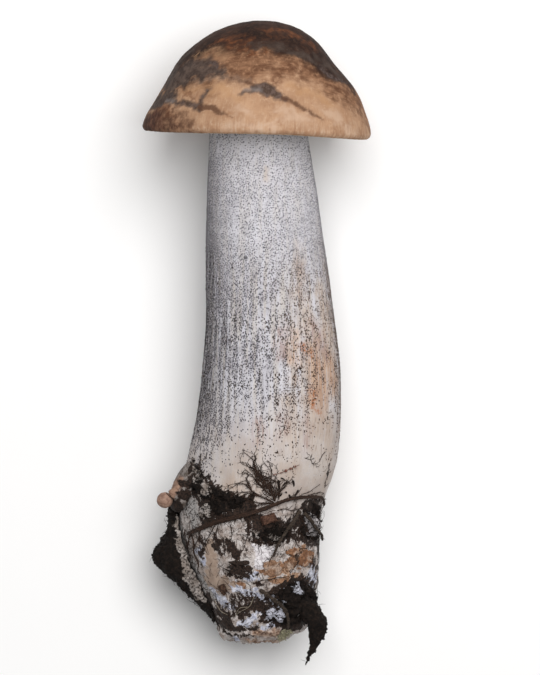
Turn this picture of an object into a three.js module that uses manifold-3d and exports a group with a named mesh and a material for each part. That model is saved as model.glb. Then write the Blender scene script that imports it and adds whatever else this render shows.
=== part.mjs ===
// A birch bolete, picked with its foot still caked in soil, lying on its side.
//
// Everything is in millimetres. The mushroom is modelled the way it grew: its foot at the origin,
// the stem rising along +Y and its best side facing +Z. Places on the stem's skin are written as
// [angle, height]: degrees round the stem from the +Z side towards +X, and millimetres above the
// foot. The last group lays the mushroom down, so that the part has +Z up and rests on the cap's
// rim and on the soil caked behind the foot.
import * as THREE from "three";
import { ParametricGeometry } from "three/addons/geometries/ParametricGeometry.js";
import { ImprovedNoise } from "three/addons/math/ImprovedNoise.js";
import { mergeVertices } from "three/addons/utils/BufferGeometryUtils.js";
import Module from "manifold-3d";

const { sin, cos, PI, sqrt, abs, min, max, atan2, hypot } = Math;
const wasm = await Module();
wasm.setup();

// ---- Driving dimensions -------------------------------------------------------------------

const GAP = 0.3; // clearance kept between neighbouring pieces

const CAP_RADIUS = 30;
const CAP_HEIGHT = 28.7; // from the widest ring to the crown
const CAP_DEPTH_SHARE = 0.98; // the cap is a little narrower front to back
const CROWN_SHIFT = 0.9; // the crown is off centre, towards +X
const CAP_LEAN = -2.7; // degrees, the crown leans towards +X
const CAP_PLACE = new THREE.Vector3(0.3, 136.4, 0); // centre of the cap's widest ring
const RIM_ROUND = 1.3; // radius of the rounded rim
const CAP_CEILING = 11.4; // height above the widest ring of the socket that the stem grows into
const STEM_HOLE = 14.5; // radius of the hole in the pore layer that the stem goes through

const STEM_TOP = 145.8;
const STATION_STEP = 12; // spacing of the stem's stations
// [radius, sideways place of the centre line] at heights 0, 12, 24 ... 144
const STEM_STATIONS = [
  [10.8, 2.2],
  [14.6, 0.8],
  [18.0, -1.1],
  [19.0, -1.5],
  [20.0, 1.5],
  [19.2, 3.5],
  [18.4, 4.2],
  [17.3, 4.0],
  [16.4, 3.2],
  [15.5, 2.3],
  [14.6, 1.5],
  [13.3, 0.7],
  [12.3, 0.4],
];
const STEM_ARCH = 1.5; // how far the middle of the stem arches towards +Z
const FOOT_ROUND = 3.6; // height over which the torn foot closes
const FOOT_SKEW = 0.12; // rise of the broken foot towards +X

const LIE_TILT = 4; // degrees, the cap end lies higher than the foot
const LIE_HEIGHT = 18.9; // height of the foot's centre above the table

const COLOURS = {
  cap: [0x9c7454, 0.62],
  pores: [0xc9c0ac, 0.85],
  stem: [0xc9c4c4, 0.8],
  bud: [0xa08270, 0.7],
  soil: [0x241b16, 0.95],
  root: [0x3a2418, 0.85],
  pale_root: [0xb5a48f, 0.8],
  leaf: [0xa06a42, 0.75],
  bark: [0x2a1d16, 0.9],
  moss: [0x9c9a78, 0.95],
};

// ---- Small maths --------------------------------------------------------------------------

const radians = THREE.MathUtils.degToRad;
const smoothstep = THREE.MathUtils.smoothstep;
const perlin = new ImprovedNoise();

// Perlin noise from -1 to 1 whose lumps are about `size` millimetres across.
const noiseAt = (p, size) => perlin.noise(p.x / size, p.y / size, p.z / size);

// Catmull-Rom value of one column of an evenly spaced table.
function tableAt(table, column, place) {
  const last = table.length - 1;
  const i = min(max(Math.floor(place), 0), last - 1);
  const at = (k) => table[min(max(k, 0), last)][column];
  const [a, b, c, d] = [at(i - 1), at(i), at(i + 1), at(i + 2)];
  const f = place - i;
  return b + 0.5 * f * (c - a + f * (2 * a - 5 * b + 4 * c - d + f * (3 * (b - c) + d - a)));
}

// Smallest difference between two directions in degrees.
const turnBetween = (a, b) => abs(((a - b + 540) % 360) - 180);

// ---- The stem's skin ----------------------------------------------------------------------

function stemCentre(height) {
  const side = tableAt(STEM_STATIONS, 1, height / STATION_STEP);
  return new THREE.Vector3(side, height, STEM_ARCH * sin((PI * height) / STEM_TOP));
}

// Radius of the stem's skin: the stations, faint lobes, and a torn, rounded foot.
function stemRadius(angle, height) {
  const station = tableAt(STEM_STATIONS, 0, height / STATION_STEP);
  const a = radians(angle);
  const lobes = 1 + 0.012 * sin(2 * a + 0.6) + 0.009 * sin(5 * a + height / 22);
  const nearFoot = 1 - smoothstep(height, 0, 34);
  const direction = new THREE.Vector3(sin(a) * 10, height, cos(a) * 10);
  const lumps = 1 + 0.09 * nearFoot * noiseAt(direction, 7);
  const close = height < FOOT_ROUND ? sqrt(max(1 - (1 - height / FOOT_ROUND) ** 2, 0)) : 1;
  return station * lobes * lumps * close;
}

// The point `stand` millimetres off the stem's skin.
function onStem(angle, height, stand = 0) {
  const r = stemRadius(angle, height) + stand;
  const a = radians(angle);
  return stemCentre(height).add(new THREE.Vector3(r * sin(a), 0, r * cos(a)));
}

// ---- Closed solids ------------------------------------------------------------------------

// A geometry with its vertices merged and its faces pointing out.
function closed(geometry) {
  const bare = geometry.clone();
  for (const name of ["normal", "uv", "color"]) bare.deleteAttribute(name);
  const merged = mergeVertices(bare, 1e-3);
  const kept = [];
  const index = merged.index.array;
  for (let i = 0; i < index.length; i += 3) {
    const [a, b, c] = [index[i], index[i + 1], index[i + 2]];
    if (a !== b && b !== c && c !== a) kept.push(a, b, c);
  }
  merged.setIndex(kept);
  if (volumeOf(merged) < 0) merged.setIndex(kept.toReversed());
  return merged;
}

function volumeOf(geometry) {
  const position = geometry.getAttribute("position");
  const corner = (i) => new THREE.Vector3().fromBufferAttribute(position, i);
  const index = geometry.index.array;
  let six = 0;
  for (let i = 0; i < index.length; i += 3) {
    six += corner(index[i]).dot(corner(index[i + 1]).cross(corner(index[i + 2])));
  }
  return six / 6;
}

// Moves every vertex of a geometry to where `move` says.
function warp(geometry, move) {
  const position = geometry.getAttribute("position");
  const p = new THREE.Vector3();
  for (let i = 0; i < position.count; i++) {
    move(p.fromBufferAttribute(position, i));
    position.setXYZ(i, p.x, p.y, p.z);
  }
  return geometry;
}

function toManifold(geometry) {
  const shape = closed(geometry);
  return new wasm.Manifold(
    new wasm.Mesh({
      numProp: 3,
      vertProperties: new Float32Array(shape.getAttribute("position").array),
      triVerts: new Uint32Array(shape.index.array),
    }),
  );
}

function toGeometry(manifold) {
  const mesh = manifold.getMesh();
  return new THREE.BufferGeometry()
    .setAttribute("position", new THREE.BufferAttribute(mesh.vertProperties, 3))
    .setIndex(new THREE.BufferAttribute(mesh.triVerts, 1));
}

// The largest single body left when `tools` are cut from `geometry`.
function cut(geometry, ...tools) {
  const left = tools.reduce((body, tool) => body.subtract(toManifold(tool)), toManifold(geometry));
  const bodies = left.decompose().sort((a, b) => b.volume() - a.volume());
  return toGeometry(bodies[0]);
}

const join = (...geometries) =>
  toGeometry(geometries.map(toManifold).reduce((body, next) => body.add(next)));

// A round tube with pointed ends along a smooth line through `points`. The radii are spread evenly
// along it, from its start to its end.
function taperedTube(points, radii, { sides = 6, stepsPerSpan = 3 } = {}) {
  const curve = new THREE.CatmullRomCurve3(points);
  const steps = (points.length - 1) * stepsPerSpan;
  const frames = curve.computeFrenetFrames(steps);
  const table = radii.map((radius) => [radius]);
  const rings = steps + 2; // one more at each end, where the tube closes to a point
  return new ParametricGeometry(
    (u, v, target) => {
      const ring = v * rings;
      const i = min(max(Math.round(ring) - 1, 0), steps);
      const along = i / steps;
      const open = ring > 0.5 && ring < rings - 0.5;
      const r = open ? tableAt(table, 0, along * (table.length - 1)) : 0;
      const overhang = ring < 0.5 ? -radii[0] : ring > rings - 0.5 ? radii.at(-1) : 0;
      curve.getPointAt(along, target);
      target.addScaledVector(frames.tangents[i], overhang * 0.6);
      target.addScaledVector(frames.normals[i], r * cos(2 * PI * u));
      target.addScaledVector(frames.binormals[i], r * sin(2 * PI * u));
    },
    sides,
    rings,
  );
}

// A tube whose line is given by [angle, height, stand] places on the stem, where the stand is
// measured from the gap round the stem to the tube's own skin.
function rootOnStem(places, radii) {
  const points = places.map(([angle, height, stand = 0]) =>
    onStem(angle, height, GAP + stand + max(...radii) * 1.15),
  );
  return taperedTube(points, radii, { sides: 5 });
}

// A pillow-like surface: `u` runs round the closed outline, and `v` from the middle of its front
// over the edge to the middle of its back. `place` turns a point of the flat outline, and how far
// the surface swells to the front (1) or the back (-1) there, into a point in space.
function pillow(outline, place, { perCorner, rings, crisp }) {
  const flat = outline.map(([x, y]) => new THREE.Vector3(x, y, 0));
  const edge = new THREE.CatmullRomCurve3(flat, true, "catmullrom", crisp ? 0 : 0.4);
  const middle = flat.reduce((sum, p) => sum.add(p), new THREE.Vector3()).divideScalar(flat.length);
  return new ParametricGeometry(
    (u, v, target) => {
      const rim = edge.getPoint(u % 1);
      const spot = middle.clone().lerp(rim, sin(PI * v) ** 0.8);
      const swell = Math.sign(0.5 - v) * abs(cos(PI * v)) ** 0.6;
      target.copy(place(spot, swell));
    },
    outline.length * perCorner,
    rings * 2,
  );
}

// A crust that lies on the stem. Its outline is a list of [angle, height].
function crust(outline, thickness, { perCorner = 3, rings = 5, lumps = 0.35, crisp = false } = {}) {
  const place = (spot, swell) => {
    const lump = 1 + lumps * noiseAt(onStem(spot.x, spot.y), 3.2 + thickness / 3);
    return onStem(spot.x, spot.y, GAP * 1.8 + thickness * lump * max(swell, 0));
  };
  return pillow(outline, place, { perCorner, rings, crisp });
}

// A clod whose outline, a list of [x, y], is seen from the front. It is `depth` deep to each side
// of the plane z = `level`.
function clod(outline, level, depth) {
  const place = (spot, swell) => {
    const lump = 1 + 0.2 * noiseAt(spot, 6);
    return new THREE.Vector3(spot.x, spot.y, level + depth * swell * lump);
  };
  return pillow(outline, place, { perCorner: 3, rings: 7, crisp: false });
}

// ---- Cap, pores and stem ------------------------------------------------------------------

// Hollows pressed into the cap: direction, height, depth and spread, in degrees and millimetres.
const CAP_DENTS = [
  { towards: 88, height: 18.5, depth: 2.1, spread: 5.5, turn: 38 },
  { towards: 100, height: 7, depth: 0.6, spread: 5, turn: 38 },
  { towards: -92, height: 9.5, depth: 1.7, spread: 7, turn: 48 },
  { towards: 30, height: 12, depth: 0.7, spread: 6, turn: 30 },
  { towards: 175, height: 14, depth: 1.4, spread: 6, turn: 35 },
  { towards: -150, height: 22, depth: 1.0, spread: 5, turn: 30 },
];

// Height of the flesh over the pores. The reach is a share of the cap's radius.
const ceilingAt = (reach) => CAP_CEILING * (1 - reach ** 2.4);

function capProfile() {
  const crownSteps = 14;
  const points = [];
  for (let i = 0; i <= crownSteps; i++) {
    const a = (PI / 2) * (1 - i / crownSteps);
    points.push(new THREE.Vector2(CAP_RADIUS * cos(a), CAP_HEIGHT * sin(a) ** 1.3));
  }
  for (const a of [45, 90, 140]) {
    const turn = radians(a);
    const out = CAP_RADIUS - RIM_ROUND + RIM_ROUND * cos(turn);
    points.push(new THREE.Vector2(out, -RIM_ROUND * sin(turn)));
  }
  for (const reach of [0.9, 0.75, 0.6, 0.45, 0.25, 0]) {
    points.push(new THREE.Vector2(CAP_RADIUS * reach, ceilingAt(reach)));
  }
  return points;
}

// The cap's lobes, dents and uneven rim. The same move shapes the pores under it.
function shapeCap(p) {
  const direction = (atan2(p.x, p.z) * 180) / PI;
  const a = radians(direction);
  const height = p.y;
  const fromAxis = hypot(p.x, p.z);
  const reach = fromAxis / CAP_RADIUS;
  const low = 1 - smoothstep(height, 0, CAP_HEIGHT * 0.8);
  let inward = 0;
  for (const dent of CAP_DENTS) {
    const up = (height - dent.height) / dent.spread;
    const round = turnBetween(direction, dent.towards) / dent.turn;
    inward += dent.depth * Math.exp(-up * up - round * round);
  }
  const lobes = -low * (0.4 * cos(2 * a) + 0.2 * sin(5 * a - 0.4));
  // The underside stays as it is round the stem.
  const domeReach = sqrt(max(1 - (max(height, 0) / CAP_HEIGHT) ** 1.5, 0));
  const onDome = smoothstep(reach / max(domeReach, 0.1), 0.6, 0.95);
  const scale = 1 + (onDome * (lobes - inward)) / max(fromAxis, 6);
  p.x *= scale;
  p.z *= scale * CAP_DEPTH_SHARE;
  p.x += CROWN_SHIFT * (max(height, 0) / CAP_HEIGHT) ** 3;
  p.y += reach ** 2 * low * (0.6 * sin(a) + 0.45 * sin(2 * a + 2.4) + 0.3 * sin(3 * a + 0.5));
}

function makeCap(table) {
  const dome = warp(new THREE.LatheGeometry(capProfile(), 48), shapeCap);
  return cut(dome, table);
}

// The ring of tubes under the cap: free of the rim, swollen, and sunken round the stem.
function makePoreLayer() {
  const outer = CAP_RADIUS - 3.6;
  const belly = [
    [STEM_HOLE, 4.4],
    [STEM_HOLE + 1.6, 1.8],
    [STEM_HOLE + 4, 0.2],
    [outer - 4, -0.4],
    [outer - 1.2, -0.2],
    [outer, 0.7],
  ];
  const top = [0.84, 0.75, 0.6].map((reach) => [CAP_RADIUS * reach, ceilingAt(reach) - GAP * 2.2]);
  const inside = [STEM_HOLE, ceilingAt(STEM_HOLE / CAP_RADIUS) - GAP * 2.2];
  const profile = [inside, ...belly, ...top, inside].map(([r, h]) => new THREE.Vector2(r, h));
  return warp(new THREE.LatheGeometry(profile, 48), shapeCap);
}

function stemGeometry(extra = 0) {
  const footHeights = [0, 0.12, 0.5, 1.1, 2.1, 3.5];
  const aboveFoot = 35;
  const heights = [...footHeights];
  for (let i = 1; i <= aboveFoot; i++) {
    const from = footHeights.at(-1);
    heights.push(from + ((STEM_TOP - from) * i) / aboveFoot);
  }
  const profile = heights.map((height) => new THREE.Vector2(1, height));
  profile[0].x = 0;
  profile.push(new THREE.Vector2(0, STEM_TOP + 1));
  return warp(new THREE.LatheGeometry(profile, 40), (p) => {
    const onAxis = hypot(p.x, p.z) < 0.5;
    const angle = (atan2(p.x, p.z) * 180) / PI;
    const height = p.y;
    const skin = onAxis ? stemCentre(height) : onStem(angle, height, extra);
    if (onAxis && height < 1) skin.y -= extra;
    // The top is square to the cap, which leans.
    const nearTop = smoothstep(height, STEM_TOP - 25, STEM_TOP);
    skin.y += nearTop * (skin.x - CAP_PLACE.x) * Math.tan(radians(CAP_LEAN));
    // The foot is broken off askew.
    skin.y += (1 - smoothstep(height, 0, 12)) * (skin.x - STEM_STATIONS[0][1]) * FOOT_SKEW;
    p.copy(skin);
  });
}

// ---- The stunted second bolete on the foot --------------------------------------------------

const BUD_CAP_PLACE = new THREE.Vector3(-24.0, 39, 10);

// The lobe of the stem's foot that the stunted mushroom grows from, with its bent stalk.
function budStemGeometry(extra = 0) {
  const lean = radians(-31);
  const lobe = warp(new THREE.SphereGeometry(1, 16, 12), (p) => {
    p.multiply(new THREE.Vector3(4.4 + extra, 8.8 + extra, 6 + extra));
    p.applyAxisAngle(new THREE.Vector3(0, 0, 1), lean).add(new THREE.Vector3(-16.9, 43.3, 6.5));
    p.addScalar(0.4 * noiseAt(p, 5));
  });
  const line = [
    new THREE.Vector3(-17.6, 45, 9),
    new THREE.Vector3(-20.2, 41.8, 10.4),
    BUD_CAP_PLACE.clone().add(new THREE.Vector3(1.2, 1, 0)),
  ];
  const stalk = taperedTube(line, [1.5 + extra, 1.45 + extra], { sides: 10 });
  return join(lobe, stalk);
}

function budCapGeometry(extra = 0) {
  const knob = new THREE.SphereGeometry(2.1 + extra, 14, 10).scale(0.95, 1.06, 1);
  return knob.translate(...BUD_CAP_PLACE);
}

// ---- Soil ---------------------------------------------------------------------------------

// The clod of peat at the left of the foot: its outline seen from the front, the depth at which it
// sits and how deep it is to each side of that.
const CLOD = {
  outline: [
    [-16, 37],
    [-23.2, 35.8],
    [-23.6, 30],
    [-27.9, 22.3],
    [-21, 15.4],
    [-13.6, 8],
    [-6, 0.4],
    [-1, 5],
    [-7, 20],
  ],
  level: -2,
  depth: 9,
};

// Soil that lies on the stem's skin, outlined in [angle, height]. The thick one is under the foot
// as it lies, and is pressed flat by its weight.
const CRUSTS = {
  soil_under: {
    outline: [
      [142, 9],
      [180, 5],
      [216, 8],
      [224, 24],
      [217, 41],
      [184, 48],
      [150, 44],
      [134, 26],
    ],
    thickness: 5.8,
  },
  soil_groove: {
    outline: [
      [-68, 50.6],
      [-52, 47],
      [-32, 42.8],
      [-12, 41],
      [0, 40.4],
      [-5, 38.4],
      [-22, 36.6],
      [-42, 34.4],
      [-49, 39.6],
    ],
    thickness: 1.5,
  },
  soil_middle: {
    outline: [
      [1, 31.6],
      [10, 32.2],
      [21, 33.2],
      [29, 33.6],
      [32, 30.4],
      [20, 28.6],
      [7, 28.4],
    ],
    thickness: 1.5,
  },
  soil_right: {
    outline: [
      [47, 38.2],
      [62, 37.8],
      [74, 35.2],
      [67, 32],
      [74, 28.8],
      [56, 28.4],
      [42, 31.6],
      [44, 35],
    ],
    thickness: 1.5,
  },
  soil_foot: {
    outline: [
      [2, 11.5],
      [16, 15],
      [40, 18.2],
      [72, 15],
      [80, 9.5],
      [60, 6.4],
      [34, 6.4],
      [8, 7.2],
    ],
    thickness: 1.6,
  },
};

// The peat and root sheath that hangs past the foot and ends in a wisp.
function wispGeometry(extra = 0) {
  const line = [
    [11.6, 12.6, 9],
    [13.6, 9.6, 8.5],
    [15.8, 6.8, 8],
    [16.3, 4, 7.5],
    [15.6, 1.4, 7],
    [15, -0.8, 6.5],
    [14, -3, 6],
    [13, -5.6, 5.5],
  ].map((place) => new THREE.Vector3(...place));
  const radii = [2.4, 2.9, 2.9, 2.7, 2.2, 1.1, 0.7, 0.25].map((radius) => radius + extra);
  return taperedTube(line, radii, { sides: 9 });
}

// ---- Roots, twigs and litter ----------------------------------------------------------------

// The root that crosses the foot, with the two forks of its lower end.
function makeMainRoot() {
  const trunk = [
    [-55, 30.6],
    [-29, 33.6],
    [-8, 36],
    [8, 38],
    [18, 39.9],
    [27, 41.1],
    [37, 41.2],
    [50, 40.8],
    [64, 39.8],
    [74, 37.6],
  ];
  const leftFork = [[-53, 30.8], [-57, 28.8], [-60, 27.4]];
  const downFork = [[-53, 30.8], [-53, 27.6], [-55, 25], [-56, 22.6]];
  return join(
    rootOnStem(trunk, [0.8, 0.75, 0.65, 0.45]),
    rootOnStem(leftFork, [0.6, 0.3]),
    rootOnStem(downFork, [0.6, 0.3]),
  );
}

// The fan of rootlets above the root. They grow out of one knot.
function makeRootFan() {
  const knot = [15, 42.2, 0.4];
  const rootlets = [
    [knot, [9, 44.2], [2, 47], [-4, 50.6]],
    [knot, [4, 44], [-4, 46.4], [-11, 48.8], [-18, 51.6]],
    [knot, [4, 42.8], [-6, 44.2], [-16, 44.2]],
    [knot, [18, 43.4], [19, 44.6]],
  ];
  return join(...rootlets.map((places) => rootOnStem(places, [0.5, 0.22])));
}

const ROOTS = {
  stick_long: {
    places: [
      [38, 37.6, 2.0],
      [33, 35, 2.0],
      [27, 32, 2.0],
      [21, 29, 2.0],
      [18, 26, 1.5],
    ],
    radii: [0.55, 0.4],
    colour: "bark",
  },
  stick_short: {
    places: [
      [43, 36.6, 2.1],
      [51, 33.8, 2.1],
      [60, 31, 2.1],
      [70, 28.4, 2],
    ],
    radii: [0.5, 0.35],
    colour: "bark",
  },
  foot_strap: {
    places: [
      [5, 16.8, 0.8],
      [12, 14.7, 1.9],
      [19, 12.8, 2.2],
      [25, 10.6, 2.2],
      [28, 8, 2.2],
      [29, 5.8, 1.8],
    ],
    radii: [0.5, 0.4],
    colour: "bark",
  },
  pale_root: {
    places: [
      [-4, 14.4, 0.4],
      [-10, 11.6, 0.4],
      [-22, 10, 0.4],
      [-31, 8.4, 0.4],
    ],
    radii: [0.3, 0.25],
    colour: "pale_root",
  },
  berry_root: {
    places: [
      [14, 46.2],
      [18, 46.8],
      [23, 47.6],
      [28, 48.6],
    ],
    radii: [0.28, 0.22],
    colour: "root",
  },
};

// Flakes of litter: [angle, height] corners, thickness and colour.
const LITTER = {
  leaf_chip_wide: {
    corners: [[8, 23.7], [25, 23.4], [24, 19.7], [8, 19.5]],
    thickness: 0.7,
    colour: "leaf",
  },
  leaf_chip_small: {
    corners: [[29, 23.2], [37, 24], [37, 21.4], [30, 21.2]],
    thickness: 0.6,
    colour: "leaf",
  },
  leaf_chip_right: {
    corners: [[42, 25.2], [60, 25.4], [61, 22.2], [44, 21.4]],
    thickness: 0.7,
    colour: "leaf",
  },
  bark_chip: {
    corners: [[-26, 21.6], [-14, 24], [-5, 21.4], [-13, 19]],
    thickness: 1.3,
    colour: "bark",
  },
  brown_crumb: {
    corners: [[-36, 17], [-29, 17.6], [-28, 15.4], [-34, 14]],
    thickness: 1.5,
    colour: "bark",
  },
  red_crumb: {
    corners: [[8, 35.6], [18, 37], [22, 34.6], [10, 33.4]],
    thickness: 1.6,
    colour: "leaf",
  },
  moss_tuft: {
    corners: [[24, 4.8], [36, 4.6], [41, 2.8], [26, 2.6]],
    thickness: 1.2,
    colour: "moss",
  },
};

// ---- Assembly -----------------------------------------------------------------------------

function material(colour) {
  const [hex, roughness] = COLOURS[colour];
  return new THREE.MeshStandardMaterial({ color: hex, roughness, metalness: 0 });
}

function piece(name, geometry, colour) {
  const mesh = new THREE.Mesh(closed(geometry), material(colour));
  mesh.name = name;
  return mesh;
}

// The table's top as a block in a group's own frame, to cut the flats that the mushroom rests on.
function tableBlock(group) {
  group.updateWorldMatrix(true, false);
  const block = new THREE.BoxGeometry(400, 400, 60).translate(0, 0, -30);
  return block.applyMatrix4(group.matrixWorld.clone().invert());
}

const mushroom = new THREE.Group();
mushroom.rotation.x = radians(LIE_TILT);
mushroom.position.z = LIE_HEIGHT;

const capGroup = new THREE.Group();
capGroup.position.copy(CAP_PLACE);
capGroup.rotation.z = radians(CAP_LEAN);
mushroom.add(capGroup);

capGroup.add(piece("cap", makeCap(tableBlock(capGroup)), "cap"));
capGroup.add(piece("pore_layer", makePoreLayer(), "pores"));
mushroom.add(piece("stem", stemGeometry(), "stem"));

// Room that soft pieces leave round the firm ones.
const roomForStem = stemGeometry(GAP);
const roomForBud = join(budStemGeometry(GAP), budCapGeometry(GAP));
const roomForWisp = wispGeometry(GAP * 1.5);

const budStem = cut(budStemGeometry(), roomForStem, budCapGeometry(GAP));
mushroom.add(piece("bud_stem", budStem, "stem"));
mushroom.add(piece("bud_cap", budCapGeometry(), "bud"));

const table = tableBlock(mushroom);
const leftClod = cut(clod(CLOD.outline, CLOD.level, CLOD.depth), roomForStem, roomForBud);
mushroom.add(piece("soil_left", leftClod, "soil"));
for (const [name, { outline, thickness }] of Object.entries(CRUSTS)) {
  const peat = cut(crust(outline, thickness), roomForBud, roomForWisp, table);
  mushroom.add(piece(name, peat, "soil"));
}
mushroom.add(piece("soil_wisp", cut(wispGeometry(), roomForStem), "soil"));

mushroom.add(piece("main_root", makeMainRoot(), "root"));
mushroom.add(piece("root_fan", makeRootFan(), "root"));
for (const [name, { places, radii, colour }] of Object.entries(ROOTS)) {
  mushroom.add(piece(name, rootOnStem(places, radii), colour));
}
for (const [name, { corners, thickness, colour }] of Object.entries(LITTER)) {
  const flake = crust(corners, thickness, { rings: 2, lumps: 0.2, crisp: true });
  mushroom.add(piece(name, flake, colour));
}

// The part's origin is on the table, under the middle of everything.
const birchBolete = new THREE.Group();
birchBolete.add(mushroom);
const bounds = new THREE.Box3().setFromObject(birchBolete, true);
const middle = bounds.getCenter(new THREE.Vector3());
mushroom.position.x -= middle.x;
mushroom.position.y -= middle.y;

export default birchBolete;
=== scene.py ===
# A picked birch bolete lying on a pale table: the visual model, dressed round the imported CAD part.
#
# All modelling is done in millimetres in the frame the mushroom grew in: the foot at the origin, the
# stem rising along +Y, its best side facing +Z. A place on the stem is [angle, height]: degrees round
# the stem from +Z towards +X, and millimetres above the foot. A place on the cap is [direction,
# height] in the cap's own frame, which leans with the cap. to_world() lays all of it on the table.
import math

import bpy
import numpy as np
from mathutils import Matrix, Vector
from mathutils.bvhtree import BVHTree


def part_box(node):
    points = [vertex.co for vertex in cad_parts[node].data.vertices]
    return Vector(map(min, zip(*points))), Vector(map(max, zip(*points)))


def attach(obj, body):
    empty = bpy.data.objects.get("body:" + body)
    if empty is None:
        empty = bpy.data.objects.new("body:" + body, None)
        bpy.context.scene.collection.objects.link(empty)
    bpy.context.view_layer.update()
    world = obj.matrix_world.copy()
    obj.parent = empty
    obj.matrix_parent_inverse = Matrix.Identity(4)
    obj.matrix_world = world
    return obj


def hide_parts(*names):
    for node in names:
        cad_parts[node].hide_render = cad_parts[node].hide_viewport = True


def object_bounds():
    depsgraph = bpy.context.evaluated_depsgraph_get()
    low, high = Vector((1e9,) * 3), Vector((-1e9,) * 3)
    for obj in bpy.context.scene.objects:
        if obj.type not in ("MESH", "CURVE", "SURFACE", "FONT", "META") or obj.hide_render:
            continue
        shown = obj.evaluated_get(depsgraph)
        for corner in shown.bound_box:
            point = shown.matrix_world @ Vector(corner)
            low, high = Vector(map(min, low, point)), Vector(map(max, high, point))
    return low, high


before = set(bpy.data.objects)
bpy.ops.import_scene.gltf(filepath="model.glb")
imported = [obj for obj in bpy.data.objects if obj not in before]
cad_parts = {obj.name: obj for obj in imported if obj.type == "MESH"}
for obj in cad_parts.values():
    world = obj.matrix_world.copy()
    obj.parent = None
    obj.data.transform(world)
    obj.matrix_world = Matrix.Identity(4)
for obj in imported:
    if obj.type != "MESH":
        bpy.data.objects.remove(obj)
cad_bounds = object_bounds()

MM = 0.001

# ---- The part's frame ---------------------------------------------------------------------------

LIE_TILT = math.radians(4)
BUD_CENTRE = np.array([-24.0, 39.0, 10.0])  # centre of bud_cap, which ties the two frames together

TURN = np.array([
    [1, 0, 0],
    [0, math.cos(LIE_TILT), -math.sin(LIE_TILT)],
    [0, math.sin(LIE_TILT), math.cos(LIE_TILT)],
])
bud_low, bud_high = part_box("bud_cap")
SHIFT = np.array((bud_low + bud_high) / 2) / MM - TURN @ BUD_CENTRE


def to_world(points):
    return (np.asarray(points, float) @ TURN.T + SHIFT) * MM


def to_own(points):
    return (np.asarray(points, float) / MM - SHIFT) @ TURN


def from_above(points):
    """Places as seen from straight above the part, flattened onto the level of its axis."""
    return points @ TURN.T * (1, 1, 0)


def on_plane(line):
    return np.column_stack([line, np.zeros(len(line))])


# ---- Small maths --------------------------------------------------------------------------------


def smoothstep(x, low, high):
    t = np.clip((np.asarray(x, float) - low) / (high - low), 0, 1)
    return t * t * (3 - 2 * t)


def fall(x, low, high):
    return 1 - smoothstep(x, low, high)


def window(x, rise, risen, sink, sunk):
    """0, then 1 from `risen` to `sink`, then 0 again."""
    return smoothstep(x, rise, risen) * fall(x, sink, sunk)


def lerp(a, b, t):
    return a + (b - a) * t


def spread(values, count):
    """A few values spread evenly over a longer row."""
    return np.interp(np.linspace(0, 1, count), np.linspace(0, 1, len(values)), values)


def run_along(line):
    """How far along a line each of its points lies."""
    return np.concatenate([[0], np.cumsum(np.linalg.norm(np.diff(line, axis=0), axis=1))])


SEED_SHIFT = 19.7  # how far apart in the lattice two seeds read it
NOISE_GAIN = 1.6
LATTICE = np.random.default_rng(11)
PERMUTATION = np.tile(LATTICE.permutation(256), 2)
GRADIENTS = LATTICE.normal(size=(256, 3))
GRADIENTS /= np.linalg.norm(GRADIENTS, axis=1, keepdims=True)


def noise(points, size=1.0, seed=0):
    """Perlin noise, about -1 to 1. `size` is the size of a lump in millimetres, one or three numbers."""
    q = np.asarray(points, float) / size + seed * SEED_SHIFT
    cell = np.floor(q).astype(int)
    f = q - cell
    w = f * f * f * (f * (f * 6 - 15) + 10)
    total = np.zeros(q.shape[:-1])
    for corner in np.ndindex(2, 2, 2):
        c = np.array(corner)
        x, y, z = np.moveaxis((cell + c) & 255, -1, 0)
        gradient = GRADIENTS[PERMUTATION[PERMUTATION[PERMUTATION[x] + y] + z]]
        share = np.prod(np.where(c, w, 1 - w), axis=-1)
        total += share * np.sum(gradient * (f - c), axis=-1)
    return total * NOISE_GAIN


def fractal(points, size=1.0, seed=0, octaves=3, gain=0.5):
    size = np.asarray(size, float)
    return sum(noise(points, size / 2**k, seed + k) * gain**k for k in range(octaves))


def smooth_line(points, per_span=6):
    """A Catmull-Rom line through rows of numbers."""
    p = np.asarray(points, float)
    p = np.vstack([2 * p[0] - p[1], p, 2 * p[-1] - p[-2]])
    t = (np.arange(per_span) / per_span)[:, None]
    spans = []
    for a, b, c, d in zip(p, p[1:], p[2:], p[3:]):
        spans.append(b + 0.5 * t * (c - a + t * (2 * a - 5 * b + 4 * c - d + t * (3 * (b - c) + d - a))))
    return np.vstack([*spans, p[-2]])


def unit(v):
    v = np.asarray(v, float)
    return v / np.maximum(np.linalg.norm(v, axis=-1, keepdims=True), 1e-9)


def blurred(values, sigma, axis, wrap):
    """Values smoothed by a bell curve along one axis of a grid."""
    reach = int(math.ceil(3 * sigma))
    weights = np.exp(-0.5 * (np.arange(-reach, reach + 1) / sigma) ** 2)
    weights /= weights.sum()
    pad = [(0, 0)] * values.ndim
    pad[axis] = (reach, reach)
    padded = np.pad(values, pad, mode="wrap" if wrap else "edge")
    count = values.shape[axis]
    return sum(w * np.take(padded, range(k, k + count), axis=axis) for k, w in enumerate(weights))


def cad_tree(*names):
    """A search tree over CAD nodes in the part's own frame."""
    points, faces = [], []
    for name in names:
        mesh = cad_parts[name].data
        start = len(points)
        points += to_own([v.co for v in mesh.vertices]).tolist()
        faces += [[start + i for i in polygon.vertices] for polygon in mesh.polygons]
    return BVHTree.FromPolygons(points, faces)


# ---- Grids of rings -----------------------------------------------------------------------------
# A grid holds closed rings of points, one ring to a row. Column 0 of a ring looks along -Z.


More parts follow.
